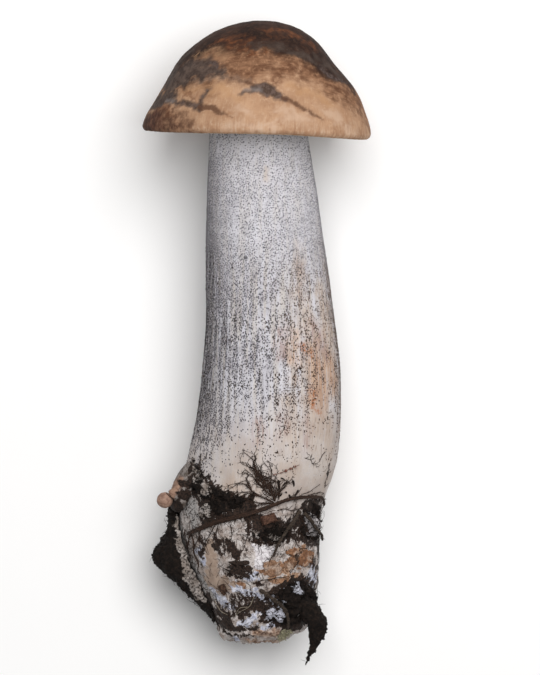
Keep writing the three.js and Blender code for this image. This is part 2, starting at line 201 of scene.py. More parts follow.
def turned(profile, columns):
    """A lathe of [radius, height] rows."""
    a = np.radians(np.linspace(-180, 180, columns, endpoint=False))
    r, h = np.asarray(profile, float).T
    return np.stack([r[:, None] * np.sin(a), np.repeat(h[:, None], columns, 1), r[:, None] * np.cos(a)], -1)


def snapped(grid, tree, sigma):
    """A grid moved onto a CAD solid, without the solid's facets."""
    flat = grid.reshape(-1, 3)
    near = np.array([tree.find_nearest(Vector(p))[0] for p in flat])
    move = (near - flat).reshape(grid.shape)
    move = blurred(move, sigma[0], 0, wrap=False)
    return grid + blurred(move, sigma[1], 1, wrap=True)


def grid_normals(grid, flip=False):
    along = np.gradient(grid, axis=0)
    around = np.roll(grid, -1, axis=1) - np.roll(grid, 1, axis=1)
    normals = unit(np.cross(around, along))
    return -normals if flip else normals


def between_rings(tables, row, angle):
    """Values of grids at a fractional row and an angle in degrees."""
    rows, columns = tables[0].shape[:2]
    column = (np.asarray(angle, float) + 180) % 360 / 360 * columns
    i = np.clip(np.floor(row).astype(int), 0, rows - 2)
    j = np.floor(column).astype(int) % columns
    u, v = (row - i)[..., None], (column - np.floor(column))[..., None]
    k = (j + 1) % columns
    found = []
    for table in tables:
        low = lerp(table[i, j], table[i, k], v)
        found.append(lerp(low, lerp(table[i + 1, j], table[i + 1, k], v), u))
    return found


def ring_faces(rows, columns, first_pole, last_pole):
    """Quads between closed rings, with a fan to a pole at either end."""
    i, j = np.meshgrid(np.arange(rows - 1), np.arange(columns), indexing="ij")
    k = (j + 1) % columns
    quads = np.stack([i * columns + j, i * columns + k, (i + 1) * columns + k, (i + 1) * columns + j], -1)
    faces = quads.reshape(-1, 4).tolist()
    last = (rows - 1) * columns
    for c in range(columns):
        d = (c + 1) % columns
        faces += [[first_pole, d, c], [last_pole, last + c, last + d]]
    return faces


def closed_grid(grid):
    """Points and faces of a grid, closed at both ends."""
    rows, columns = grid.shape[:2]
    points = np.vstack([grid.reshape(-1, 3), grid[0].mean(0), grid[-1].mean(0)])
    return points, ring_faces(rows, columns, rows * columns, rows * columns + 1)


def with_poles(values):
    """Numbers or rows of numbers of a grid, with one more for each closing pole."""
    flat = values.reshape(-1, *values.shape[2:])
    return np.concatenate([flat, values[:1].mean(1), values[-1:].mean(1)])


# ---- Painting -----------------------------------------------------------------------------------

STROKE_STEPS = 4  # points on each span of a painted line
FIRST_STROKE_SEED = 30


def stroke(points, line, widths, soft=0.5, ragged=0.0, grain=1.5, seed=0):
    """How far points lie within a painted line, 0 to 1. Widths are half widths along the line."""
    line = np.asarray(line, float)
    widths = spread(widths, len(line))
    reach = widths.max() + soft + ragged + 1
    low, high = line.min(0) - reach, line.max(0) + reach
    mask = np.zeros(points.shape[:-1])
    near = np.all((points > low) & (points < high), axis=-1)
    p = points[near]
    if not len(p):
        return mask
    best = np.full(len(p), -1e9)
    for a, b, wa, wb in zip(line, line[1:], widths, widths[1:]):
        ab = b - a
        t = np.clip((p - a) @ ab / max(ab @ ab, 1e-9), 0, 1)
        gone = np.linalg.norm(p - a - t[:, None] * ab, axis=1)
        best = np.maximum(best, lerp(wa, wb, t) - gone)
    if ragged:
        best = best + ragged * fractal(p, grain, seed, 3, 0.6)
    mask[near] = smoothstep(best, -soft, soft)
    return mask


def painted(points, strokes, place, soft, ragged, grain):
    """The strongest of several strokes at each point. A stroke is a line of (x, y, half width)."""
    mask = np.zeros(points.shape[:-1])
    for k, rows in enumerate(strokes):
        rows = np.array(rows, float)
        path = place(smooth_line(rows[:, :2], STROKE_STEPS))
        layer = stroke(points, path, rows[:, 2], soft, ragged, grain, FIRST_STROKE_SEED + k)
        mask = np.maximum(mask, layer)
    return mask


# ---- Meshes -------------------------------------------------------------------------------------


class Heap:
    """Vertices and faces that gather into one mesh, with named numbers for each vertex."""

    def __init__(self):
        self.points, self.faces, self.masks, self.count = [], [], [], 0

    def add(self, points, faces, **masks):
        points = np.asarray(points, float).reshape(-1, 3)
        self.points.append(points)
        self.faces += [[i + self.count for i in face] for face in faces]
        self.masks.append({k: np.broadcast_to(v, len(points)) for k, v in masks.items()})
        self.count += len(points)

    def scatter(self, template, faces, places, axes, **masks):
        """Copies of a small shape. `axes` holds each copy's three sides as rows."""
        template = np.asarray(template, float)
        copies = places[:, None, :] + np.einsum("vk,nkj->nvj", template, axes)
        starts = self.count + np.arange(len(places))[:, None, None] * len(template)
        for kind in sorted({len(f) for f in faces}):
            same = np.array([f for f in faces if len(f) == kind])
            self.faces += (same[None] + starts).reshape(-1, kind).tolist()
        self.points.append(copies.reshape(-1, 3))
        repeated = {k: np.repeat(np.broadcast_to(v, len(places)), len(template)) for k, v in masks.items()}
        self.masks.append(repeated)
        self.count += copies.shape[0] * copies.shape[1]

    def mask_table(self):
        names = sorted({name for part in self.masks for name in part})
        sizes = [len(p) for p in self.points]
        return {
            name: np.concatenate([m.get(name, np.zeros(n)) for m, n in zip(self.masks, sizes)])
            for name in names
        }


def make_piece(name, points, faces, look, replaces=(), masks=None, smooth=True):
    """A piece of the mushroom from points in its own frame."""
    points = np.clip(to_world(np.asarray(points).reshape(-1, 3)), *np.array(cad_bounds, float))
    mesh = bpy.data.meshes.new(name)
    mesh.from_pydata(points.tolist(), [], faces)
    mesh.validate()
    mesh.polygons.foreach_set("use_smooth", [smooth] * len(mesh.polygons))
    for key, values in (masks or {}).items():
        attribute = mesh.attributes.new(key, "FLOAT", "POINT")
        attribute.data.foreach_set("value", np.asarray(values, np.float32).ravel())
    mesh.materials.append(look.material)
    mesh.update()
    piece = bpy.data.objects.new(name, mesh)
    bpy.context.scene.collection.objects.link(piece)
    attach(piece, "root")
    if replaces:
        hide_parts(*replaces)
    return piece


def heap_piece(name, heap, look, slot, *replaces):
    return make_piece(name, np.vstack(heap.points), heap.faces, look, replaces, heap.mask_table())


# ---- Materials ----------------------------------------------------------------------------------


def linear(r, g, b):
    """A linear colour from an sRGB one, 0 to 255."""
    def channel(v):
        v /= 255
        return v / 12.92 if v <= 0.04045 else ((v + 0.055) / 1.055) ** 2.4
    return (channel(r), channel(g), channel(b), 1.0)


# Sockets of Blender's Mix node when it mixes colours.
MIX_SHARE, MIX_UNDER, MIX_OVER, MIX_RESULT = 0, 6, 7, 2


class Look:
    """A node material built up in layers of colour. Sizes are in millimetres.

    A value is a number, a socket or the name of a painted mask. A factor is a value, or (value, low,
    high), which runs from 0 to 1 between them. A colour is a socket, (r, g, b), or (value, low, high,
    start, end), which runs from one colour to another. A torn mask fades out over the range `gate`.
    """

    def __init__(self, name, roughness=0.8, specular=0.3, sheen=0.0, gate=(0.02, 0.25)):
        self.material = bpy.data.materials.new(name)
        self.material.use_nodes = True
        self.tree = self.material.node_tree
        self.shader = self.tree.nodes["Principled BSDF"]
        self.gate = gate
        finish = {"Roughness": roughness, "Specular IOR Level": specular, "Sheen Weight": sheen}
        self.set(self.shader, finish)
        self.place = self.node("TexCoord", "Object", {})
        self.place = self.stretched((MM,) * 3)

    def set(self, node, values):
        for key, value in values.items():
            if isinstance(value, str):
                value = self.attribute(value, "Fac")
            if isinstance(value, bpy.types.NodeSocket):
                self.tree.links.new(value, node.inputs[key])
            else:
                node.inputs[key].default_value = value

    def node(self, kind, output, values, **settings):
        node = self.tree.nodes.new("ShaderNode" + kind)
        for key, value in settings.items():
            setattr(node, key, value)
        self.set(node, values)
        return node.outputs[output]

    def attribute(self, name, output):
        return self.node("Attribute", output, {}, attribute_name=name)

    def stretched(self, sides):
        return self.node("Mapping", "Vector", {"Vector": self.place, "Scale": tuple(1 / s for s in sides)})

    def noise(self, size, detail=3.0, rough=0.55, sides=None, distort=0.0):
        vector = self.stretched(sides) if sides else self.place
        shape = {"Scale": 1 / size, "Detail": detail, "Roughness": rough, "Distortion": distort}
        return self.node("TexNoise", "Fac", {"Vector": vector} | shape)

    def cells(self, size, feature="F1"):
        values = {"Vector": self.place, "Scale": 1 / size}
        return self.node("TexVoronoi", "Distance", values, feature=feature)

    def math(self, operation, a, b=0.0):
        return self.node("Math", 0, {0: a, 1: b}, operation=operation)

    def total(self, *parts, start=0.0):
        """Values added up, each with its own weight."""
        for value, weight in parts:
            start = self.node("Math", 0, {0: value, 1: weight, 2: start}, operation="MULTIPLY_ADD")
        return start

    def between(self, value, low, high):
        """0 below `low` and 1 above `high`, or the other way round if low is the larger."""
        start, end = (1.0, 0.0) if low > high else (0.0, 1.0)
        return self.node("MapRange", "Result", {
            "Value": value, "From Min": min(low, high), "From Max": max(low, high),
            "To Min": start, "To Max": end,
        }, interpolation_type="SMOOTHSTEP")

    def times(self, *factors):
        result = None
        for value in factors:
            value = self.between(*value) if isinstance(value, tuple) else value
            result = value if result is None else self.math("MULTIPLY", result, value)
        return result

    def torn(self, name, low, high, *pushes):
        """A painted mask with its edge pushed to and fro by (texture, amount) pairs, inside the paint."""
        middle = 0.5 * sum(amount for _, amount in pushes)
        pushed = self.total((name, 1.0), *pushes, start=-middle)
        return self.times((pushed, low, high), (name, *self.gate))

    def threads(self, size, width):
        """Thin winding lines, 1 along the line."""
        gone = self.math("ABSOLUTE", self.math("SUBTRACT", self.noise(size, distort=0.7), 0.5))
        return self.between(gone, width, width * 0.3)

    def mix(self, share, under, over):
        sockets = {MIX_SHARE: share, MIX_UNDER: under, MIX_OVER: over}
        return self.node("Mix", MIX_RESULT, sockets, data_type="RGBA")

    def colour(self, value):
        if not isinstance(value, tuple):
            return value
        if len(value) == 3:
            return linear(*value)
        *span, start, end = value
        return self.mix(self.between(*span), linear(*start), linear(*end))

    def layers(self, under, *rows):
        """Colours laid over one another. A row is a colour and the factors of its share."""
        result = self.colour(under)
        for over, *factors in rows:
            result = self.mix(self.times(*factors), result, self.colour(over))
        return result

    def finish(self, colour, height=None, strength=0.5, distance=0.1):
        self.set(self.shader, {"Base Color": colour})
        if height is not None:
            bump = {"Height": height, "Strength": strength, "Distance": distance * MM}
            self.set(self.shader, {"Normal": self.node("Bump", "Normal", bump)})
        return self


# ---- Table, light and camera --------------------------------------------------------------------

VIEW_POINT = np.array([3.71, 81.22, 0.0])  # the point in the middle of the picture
CAMERA_HEIGHT = 1100.0
PICTURE_HEIGHT = 178.875  # millimetres seen from top to bottom at the stem's axis
SENSOR = 36.0
TABLE_HALF = 3.0  # metres, as are the lamp's places and size
LAMP_PLACE, LAMP_AIM = (0.12, 0.22, 0.85), (0, 0.0, 0.02)
LAMP_SIZE, LAMP_POWER, LAMP_COLOUR = 0.72, 8.3, (1.0, 0.99, 0.98)
SKY_STRENGTH = 0.24


def put(name, data):
    thing = bpy.data.objects.new(name, data)
    bpy.context.scene.collection.objects.link(thing)
    return thing


def make_camera():
    """A camera that looks straight down on the table."""
    data = bpy.data.cameras.new("camera")
    data.sensor_width = SENSOR
    data.lens = CAMERA_HEIGHT * SENSOR / PICTURE_HEIGHT
    data.clip_start = 0.01
    data.clip_end = 20
    camera = put("camera", data)
    camera.location = Vector(to_world(VIEW_POINT)) + Vector((0, 0, CAMERA_HEIGHT * MM))
    bpy.context.scene.camera = camera


def make_light():
    data = bpy.data.lights.new("key", "AREA")
    data.shape = "DISK"
    data.size = LAMP_SIZE
    data.energy = LAMP_POWER
    data.color = LAMP_COLOUR
    lamp = put("key", data)
    lamp.location = LAMP_PLACE
    lamp.rotation_euler = (Vector(LAMP_AIM) - Vector(LAMP_PLACE)).to_track_quat("-Z", "Y").to_euler()
    world = bpy.data.worlds.new("studio")
    world.use_nodes = True
    sky = world.node_tree.nodes["Background"]
    sky.inputs["Color"].default_value = (1.0, 1.0, 1.0, 1.0)
    sky.inputs["Strength"].default_value = SKY_STRENGTH
    bpy.context.scene.world = world
    bpy.context.scene.view_settings.view_transform = "Standard"


def make_table():
    look = Look("table", roughness=0.9, specular=0.2)
    look.finish(look.layers((247, 247, 247), ((251, 251, 251), look.noise(60.0, 2.0))))
    mesh = bpy.data.meshes.new("table")
    sides = [(-1, -1), (1, -1), (1, 1), (-1, 1)]
    mesh.from_pydata([(x * TABLE_HALF, y * TABLE_HALF, 0) for x, y in sides], [], [(0, 1, 2, 3)])
    mesh.materials.append(look.material)
    table = put("table", mesh)


make_camera()
make_light()
make_table()

# ---- Stem ---------------------------------------------------------------------------------------

# The stem's radius and its shift to the side at stations 12 mm apart, from the foot up.
STATION_STEP = 12
STATION_POINTS = 24  # points between two stations
STATION_RADII = [10.8, 14.6, 18.0, 19.0, 20.0, 19.2, 18.4, 17.3, 16.4, 15.5, 14.6, 13.3, 12.3]
STATION_SIDES = [2.2, 0.8, -1.1, -1.5, 1.5, 3.5, 4.2, 4.0, 3.2, 2.3, 1.5, 0.7, 0.4]
STEM_TOP = 145.8
STEM_ARCH = 1.5
FOOT_ROUND = 3.6  # height of the rounded end of the foot
FOOT_SKEW = 0.12
SKEW_HEIGHT = 12
CAP_LEAN = math.radians(-2.7)
CAP_PLACE = np.array([0.3, 136.4, 0.0])
LEAN_HEIGHT = 25  # length of stem under the cap that leans with it
STEM_ROWS, STEM_COLUMNS, FOOT_ROWS = 350, 256, 14
STEM_BLUR = (2.0, 4.0)


def station_value(table, height):
    line = smooth_line(np.array(table, float)[:, None], STATION_POINTS)[:, 0]
    return np.interp(height, np.linspace(0, STATION_STEP * (len(table) - 1), len(line)), line)


def stem_centre(height):
    height = np.asarray(height, float)
    arch = STEM_ARCH * np.sin(math.pi * np.clip(height, 0, STEM_TOP) / STEM_TOP)
    return np.stack([station_value(STATION_SIDES, height), height, arch], -1)


class Skin:
    """The stem's skin as a grid of rings, and places on it."""

    def __init__(self):
        turn = np.linspace(0, math.pi / 2, FOOT_ROWS + 1)[1:]
        foot = FOOT_ROUND * (1 - np.cos(turn))
        self.heights = np.concatenate([foot, np.linspace(FOOT_ROUND, STEM_TOP, STEM_ROWS)[1:]])
        self.angles = np.linspace(-180, 180, STEM_COLUMNS, endpoint=False)
        h, a = np.meshgrid(self.heights, np.radians(self.angles), indexing="ij")
        closing = np.sqrt(np.clip(1 - (1 - np.clip(h / FOOT_ROUND, 0, 1)) ** 2, 0, 1))
        r = station_value(STATION_RADII, h) * closing
        grid = stem_centre(h) + np.stack([r * np.sin(a), np.zeros_like(r), r * np.cos(a)], -1)
        off_cap = (grid[..., 0] - CAP_PLACE[0]) * math.tan(CAP_LEAN)
        off_foot = (grid[..., 0] - STATION_SIDES[0]) * FOOT_SKEW
        grid[..., 1] += smoothstep(h, STEM_TOP - LEAN_HEIGHT, STEM_TOP) * off_cap
        grid[..., 1] += fall(h, 0, SKEW_HEIGHT) * off_foot
        self.form = snapped(grid, cad_tree("stem"), STEM_BLUR)
        self.normals = grid_normals(self.form)
        self.grid = self.form

    def sample(self, angle, level):
        row = np.interp(level, self.heights, np.arange(len(self.heights)))
        return between_rings((self.grid, self.normals), row, angle)

    def at(self, places, stand=0.0):
        """Points a stand off the skin at [angle, height] places."""
        places = np.asarray(places, float)
        angle, height = places[..., 0], places[..., 1]
        level = height
        for _ in range(3):
            p, n = self.sample(angle, level)
            level = level + height - p[..., 1]
        p, n = self.sample(angle, level)
        return p + unit(n) * np.asarray(stand, float)[..., None]

    def normal_at(self, places):
        places = np.asarray(places, float)
        return unit(self.sample(places[..., 0], places[..., 1])[1])


skin = Skin()


def ridge_rows(points):
    """Bare ridges up the stem are positive, the furrows with scabers between them negative."""
    return noise(points, (0.95, 22, 0.95), 3) + 0.6 * noise(points, (0.6, 9, 0.6), 4)


def carve_stem():
    """The skin's own relief: long ridges, small hollows, lumps at the foot and a torn end."""
    p, n = skin.form, skin.normals
    h = p[..., 1]
    ribbed = smoothstep(h, 30, 60) * (1 - 0.75 * smoothstep(h, 95, 128))
    relief = 0.11 * ribbed * ridge_rows(p)
    relief += 0.05 * fractal(p, (1.4, 3.0, 1.4), 8)
    relief += 0.12 * fractal(p, (7, 16, 7), 5, 2)
    relief += 0.34 * fall(h, 14, 44) * fractal(p, (3.4, 4.2, 3.4), 12, 4, 0.6)
    relief += fall(h, 1.0, 7.5) * (0.9 * fractal(p, 2.6, 21, 4, 0.65) - 0.25)
    skin.grid = p + n * relief[..., None]


carve_stem()

# Painted on the stem: lines of (angle, height, half width in millimetres).
WARM_PATCHES = [
    [(32, 106, 0.6), (31, 98, 1.6), (28, 88, 1.8)],
    [(54, 96, 1.2), (58, 84, 3.6), (54, 70, 4.0)],
    [(34, 84, 1.6), (38, 72, 3.2), (40, 60, 4.0), (46, 50, 3.0)],
    [(14, 66, 1.5), (18, 58, 2.4), (22, 50, 2.0)],
    [(50, 60, 3.0), (54, 50, 3.4), (50, 46, 2.0)],
    [(-10, 44, 4.5), (-16, 42, 3.6)],
    [(160, 90, 3.0), (150, 70, 6.0), (165, 52, 4.0)],
    [(-140, 70, 4.0), (-128, 55, 5.0)],
    [(20, 86, 1.6), (18, 79, 2.2), (18, 72, 1.6)],
    [(35, 92, 1.6), (35, 87, 2.2), (42, 83, 2.0)],
]
PEACH_PATCHES = [
    [(20, 84, 0.9), (18, 77, 1.4)],
    [(38, 79, 1.8), (44, 72, 3.4), (42, 64, 2.4)],
    [(58, 76, 2.0), (60, 68, 2.4)],
    [(-27, 42.9, 0.8), (-19, 43.7, 1.6), (-9, 43.8, 1.8), (2, 41.8, 0.9)],
]
ORANGE_STAINS = [
    [(27, 80, 0.9), (31, 78.6, 0.6)],
    [(35, 78.5, 0.5), (36, 77.4, 0.4)],
    [(33, 68.6, 0.8), (36, 66.8, 1.1), (35, 64.6, 0.7)],
    [(38, 63.2, 0.5), (41, 62.6, 0.4)],
    [(172, 76, 1.0), (168, 72, 0.6)],
]
RED_SMEARS = [
    [(38, 86, 1.2), (46, 82, 2.0), (52, 78, 1.6)],
    [(6, 84, 1.0), (8, 78, 1.4)],
    [(30, 62, 0.5), (34, 54, 0.9)],
    [(-9, 60.4, 1.4), (-5, 58, 1.8), (-5, 55.6, 1.2)],
    [(8, 62, 0.9), (14, 58.6, 1.1), (9, 57.2, 0.8)],
]
SCAR = [(7, 126.6, 0.45), (6, 123.6, 0.7)]
BUFF_PATCHES = [
    [(-37, 27, 1.8), (-37, 24.4, 2.2), (-39, 21, 2.6), (-42, 18, 2.8)],
    [(-64, 18, 1.0), (-54, 17.2, 1.8), (-40, 17.4, 2.5), (-27, 17.2, 2.0), (-18, 17.4, 0.8)],
]
WHITE_PATCHES = [[(7, 27.2, 1.4), (11, 25.6, 2.4), (10, 23.6, 1.9)]]
MYCELIUM = [
    [(-51, 26, 0.9), (-47, 23, 1.1)],
    [(-12, 19, 0.7), (-3, 19.4, 1.1), (7, 20, 0.6)],
    [(-52, 15.2, 0.8), (-42, 12.8, 1.7), (-31, 11.2, 1.0)],
    [(-24, 16.2, 0.8), (-10, 15.6, 1.0), (6, 13.2, 1.7), (19, 10.8, 1.3), (10, 8.6, 0.8)],
    [(-27, 6.0, 0.7), (-17, 6.8, 1.2), (-7, 7.8, 0.8)],
    [(-3, 11.6, 0.9), (10, 9.0, 1.2), (15, 7.0, 1.2), (6, 5.6, 0.7)],
    [(57, 18, 1.2), (64, 20.6, 1.7), (70, 16, 1.5)],
    [(27, 12, 0.5), (33, 11.6, 0.5)],
    [(-43, 2.6, 0.9), (-47, 1.4, 0.7)],
    [(120, 20, 2.0), (128, 14, 2.6), (122, 9, 1.4)],
    [(-118, 18, 2.2), (-124, 12, 1.6)],
]
SPECKLED_LOBE = [
    [(-66, 38, 2.0), (-54, 36.6, 2.8), (-52, 33, 1.8)],
    [(-66, 22, 1.6), (-62, 17, 1.8), (-54, 14, 1.3)],
    [(-52, 44.4, 0.9), (-48, 41.6, 0.8)],
    [(-78, 33, 1.4), (-79, 29, 1.8), (-78, 24.4, 1.8), (-76, 20, 1.6), (-70, 15, 1.2)],
]
DARK_PATCHES = [
    [(-73, 49.8, 0.5), (-54, 46.6, 0.9), (-46, 43.6, 1.3), (-33, 41.4, 1.8), (-20, 39.6, 1.8),
     (-8, 38.6, 1.8), (0, 38, 1.3)],
    [(-60, 43, 1.0), (-50, 41, 1.3), (-40, 38.4, 1.6), (-28, 36.8, 1.6)],
    [(-44, 32.8, 0.5), (-20, 35, 0.9), (-6, 36.4, 1.3)],
    [(2, 35, 1.0), (12, 33.4, 2.0), (22, 32.4, 2.2), (20, 30.4, 1.6), (11, 30, 1.2)],
    [(48, 38.8, 1.0), (62, 37.4, 1.7), (70, 35, 1.3)],
    [(45, 35, 0.7), (48, 32.2, 1.2), (58, 30, 1.1)],
    [(28, 31, 0.8), (36, 30.4, 0.7), (46, 29, 0.8)],
    [(77, 36, 1.2), (79, 28, 1.5), (77, 21, 1.4)],
    [(-25, 21.8, 0.6), (-13, 22.6, 1.2), (-3, 21.4, 0.8), (2, 20.4, 0.4)],
    [(-20, 29.6, 0.8), (-14, 26, 1.3), (-12, 23.6, 0.9)],
    [(-48, 29, 0.8), (-44, 27.4, 0.7), (-52, 22, 0.6)],
    [(-30, 31.6, 0.4), (-28, 29.2, 1.0), (-28, 27.2, 1.3), (-19, 26, 0.8)],
    [(-14, 32.5, 0.2), (-15, 30.1, 0.35), (-18, 28.5, 0.3)],
    [(0, 35.2, 0.8), (-1, 32.3, 0.9), (-4, 29.8, 0.8), (-9, 27.4, 0.7), (-13, 25.4, 0.5)],
    [(4, 29.6, 0.7), (11, 28.6, 0.6), (17, 28.8, 0.4)],
    [(37, 29.8, 0.4), (48, 28.8, 0.7), (62, 27.7, 0.7), (73, 26, 0.6)],
    [(40, 31, 0.3), (54, 30.6, 0.3)],
    [(78, 28, 0.8), (75, 23, 0.8)],
    [(-66, 24, 0.3), (-62, 18, 0.4), (-60, 12, 0.7)],
    [(22, 15.4, 1.4), (40, 16, 2.2), (66, 13, 2.6)],
    [(22, 6.6, 1.2), (40, 6, 2.4), (70, 7, 2.6)],
    [(-62, 9.1, 1.4), (-48, 8.8, 1.7), (-34, 9.2, 0.7)],
    [(-54, 5.6, 1.4), (-42, 4.8, 1.4), (-27, 4.4, 0.8)],
    [(-24, 10.6, 0.9), (-13, 11.2, 1.3), (0, 10.8, 1.4), (6, 10.2, 0.9)],
    [(-16, 13.6, 0.5), (-6, 13.4, 0.6)],
    [(2, 17.4, 0.5), (14, 17.8, 0.6)],
    [(61, 48.4, 0.1), (63, 45.8, 0.35), (63, 43.6, 0.15)],
    [(0, 35.4, 0.9), (6, 36.0, 0.9), (11, 34.7, 0.8)],
    [(-26, 13.0, 0.5), (-16, 13.9, 0.8), (-8, 13.9, 0.8)],
    [(-26, 8.9, 0.6), (-14, 9.3, 0.5)],
    [(-26, 4.9, 0.5), (-14, 5.1, 0.6), (-5, 5.7, 0.3)],
    [(-35, 31, 0.5), (-31, 29.6, 0.7)],
    [(-28, 31.8, 0.6), (-25, 30.4, 0.8)],
    [(-49, 7.8, 1.0), (-41, 6.3, 0.9), (-36, 5.0, 0.6)],
    [(-25, 20.6, 0.5), (-16, 19.9, 0.8), (-9, 19.8, 0.4)],
    [(-46, 7.4, 1.0), (-37, 7.4, 0.8)],
    [(-40, 2.8, 0.6), (-26, 2.8, 0.9), (-13, 3.0, 0.6)],
    [(-66, 7.4, 1.5), (-60, 4.6, 1.5), (-52, 2.6, 1.1)],
    [(-31, 8.4, 0.7), (-24, 7.9, 0.5)],
]
# Thinner dirt: hair-fine roots and grains that let the flesh show.
DIRT_FILM = [
    [(4, 33, 2.4), (30, 33.4, 3.8), (54, 33, 4.4), (72, 31, 3.4)],
    [(-64, 41, 1.6), (-46, 40, 2.4), (-30, 37.4, 2.0)],
    [(-44, 29, 1.4), (-24, 28.6, 2.2), (-10, 26.4, 2.4)],
    [(26, 25.4, 1.4), (46, 25, 1.8), (66, 22, 2.2)],
    [(-34, 11.4, 1.6), (-8, 12.6, 2.2), (16, 8.6, 2.4)],
    [(56, 18, 2.0), (70, 14, 2.4)],
    [(-60, 22, 0.8), (-58, 15, 1.0), (-46, 9, 1.8)],
    [(-28, 13.4, 1.0), (-18, 14.6, 1.5), (-10, 15.0, 1.5), (-4, 14.2, 1.0)],
    [(-62, 55, 1.0), (-58, 50, 1.2), (-52, 47, 0.7)],
]
# Flesh that stays clean in the dirt.
PALE_PATCHES = [
    [(22, 37.5, 1.3), (30, 36, 1.3)],
    [(36, 39.4, 0.5), (46, 39.2, 0.5)],
    [(44, 35.2, 0.6), (52, 33.4, 0.6)],
    [(58, 33.4, 1.2), (66, 30.8, 1.4)],
    [(35, 33.2, 0.7), (41, 32, 0.6)],
    [(-26, 31, 1.4), (-16, 32.2, 1.6)],
    [(-8, 32.8, 1.5), (-4, 31, 1.8), (-8, 28.4, 1.2)],
    [(2, 30.6, 0.6), (8, 29.8, 0.6)],
    [(4, 15.6, 0.9), (12, 15.8, 0.9)],
]
RUST_PATCHES = [
    [(6, 22, 1.2), (18, 22, 2.2), (28, 21.6, 1.4)],
    [(30, 22.4, 1.4), (44, 23.4, 2.0), (60, 23.6, 1.6)],
    [(34, 26, 0.9), (48, 26.6, 1.2)],
    [(-18, 17.6, 1.0), (-12, 17.2, 0.8)],
    [(12, 14.6, 0.8), (22, 14, 0.8)],
    [(14, 18.4, 0.8), (26, 18.2, 1.2), (38, 18.6, 1.4), (48, 18, 0.8)],
]
FOOT_FLESH = [
    [(-8, 3.6, 1.2), (6, 3.4, 2.0), (22, 4.0, 1.2)],
    [(-24, 1.6, 1.2), (0, 0.8, 1.6), (30, 1.4, 1.4)],
]
# How soft and how ragged the edges of the paint are, the grain of the rags, and the lines.
STEM_PAINT = {
    "warm": (2.6, 1.6, 5, WARM_PATCHES),
    "peach": (2.4, 1.8, (3, 6, 3), PEACH_PATCHES),
    "orange": (0.8, 0.8, 1.6, ORANGE_STAINS),
    "red": (1.6, 1.0, (1.2, 4, 1.2), RED_SMEARS),
    "buff": (0.5, 1.3, 2.4, BUFF_PATCHES),
    "mycelium": (0.9, 1.5, 2.2, MYCELIUM),
    "white": (0.9, 1.5, 2.2, WHITE_PATCHES),
    "speckled": (0.9, 1.0, 2.0, SPECKLED_LOBE),
    "flesh": (0.7, 0.9, 1.8, FOOT_FLESH),
    "rust": (0.9, 1.4, 2.0, RUST_PATCHES),
    "dark": (0.9, 1.2, 2.0, DARK_PATCHES),
    "film": (2.0, 1.5, 3.0, DIRT_FILM),
    "clean": (0.5, 0.8, 1.5, PALE_PATCHES),
}

# Each piece of soil: its voxel, roughness, crumbs, hairs, seed, how far its noise is worn inwards,
# rounds of relaxing and how far it is sunk towards the flesh.
SOILS = {
    "left": (0.4, 0.5, 420, 110, 41, 0.42, 2, 0.0),
    "under": (0.5, 0.6, 320, 120, 42, 0.35, 2, 0.0),
    "groove": (0.3, 0.5, 260, 220, 43, 0.2, 1, 1.0),
    "middle": (0.3, 0.5, 160, 150, 44, 0.2, 1, 1.05),
    "right": (0.3, 0.5, 200, 160, 45, 0.2, 1, 1.3),
    "foot": (0.32, 0.6, 320, 240, 46, 0.2, 1, 0.8),
    "wisp": (0.3, 0.4, 90, 8, 47, 0.3, 1, 0.0),
}


HALO_REACH = 2.6


def near_soil(points, reach):
    """1 on points that touch the soil, falling to 0 at a reach in millimetres."""
    tree = cad_tree(*("soil_" + name for name in SOILS))
    gone = [tree.find_nearest(Vector(p), reach)[3] for p in points.reshape(-1, 3)]
    gone = np.array([reach if d is None else d for d in gone])
    return fall(gone.reshape(points.shape[:-1]), 0.5, reach)


def scaber_cover(points, angle, height):
    """How thickly scabers cover the stem, 0 to 1, apart from their rows."""
    # The cover thins just under the cap, partly as painted light: fewer dark scabers there lift the cap's
    # shadow on the stem.
    cover = lerp(0.52, 0.68, smoothstep(height, 88, 116)) * (1 - 0.3 * smoothstep(height, 124, 138))
    cover += 0.42 * window(-angle, 48, 80, 120, 150) * window(height, 52, 66, 104, 122)
    cover -= 0.26 * window(angle, 24, 50, 70, 84) * fall(height, 92, 108)
    cover += 0.26 * window(-angle, -4, 22, 60, 80) * np.exp(-(((height - 84) / 9) ** 2))
    cover += 0.25 * window(angle, 70, 84, 100, 120) * smoothstep(height, 44, 60)
    cover += 0.14 * window(-angle, 26, 46, 120, 150)
    fade = height + 3 * noise(points, (6, 9, 6), 84) + 12 * smoothstep(-angle, 20, 45)
    cover *= smoothstep(fade, 46, 74)
    return np.clip(cover + 0.25 * fractal(points, (3.0, 5.0, 3.0), 83, 2), 0, 1)


def browned(angle, height):
    """How brown the scabers are: on the best side and to its right, low down."""
    return window(angle, -10, 24, 88, 112) * fall(height, 90, 106)


def dirt_mask(p, h, angle, masks):
    """Dark patches, a thinner film, a halo round the soil and a smeared back."""
    painted_dirt = np.maximum(masks.pop("dark"), 0.62 * masks.pop("film")) * (1 - masks.pop("clean"))
    near = near_soil(p, HALO_REACH) * fall(h, 38, 52)
    halo = smoothstep(near + 0.9 * fractal(p, 1.8, 52, 4, 0.65), 0.3, 0.85) * smoothstep(near, 0, 0.2)
    round_back = smoothstep(np.abs(angle), 80, 104) * fall(h + 3 * fractal(p, 5, 47, 2), 36, 43)
    smeared = round_back * smoothstep(fractal(p, 6.5, 48, 4, 0.62), -0.22, 0.28)
    dirt = np.max([painted_dirt, 0.9 * halo, 0.85 * smeared], axis=0)
    return dirt * (1 - np.maximum(0.75 * masks["speckled"], 0.9 * masks["white"]))


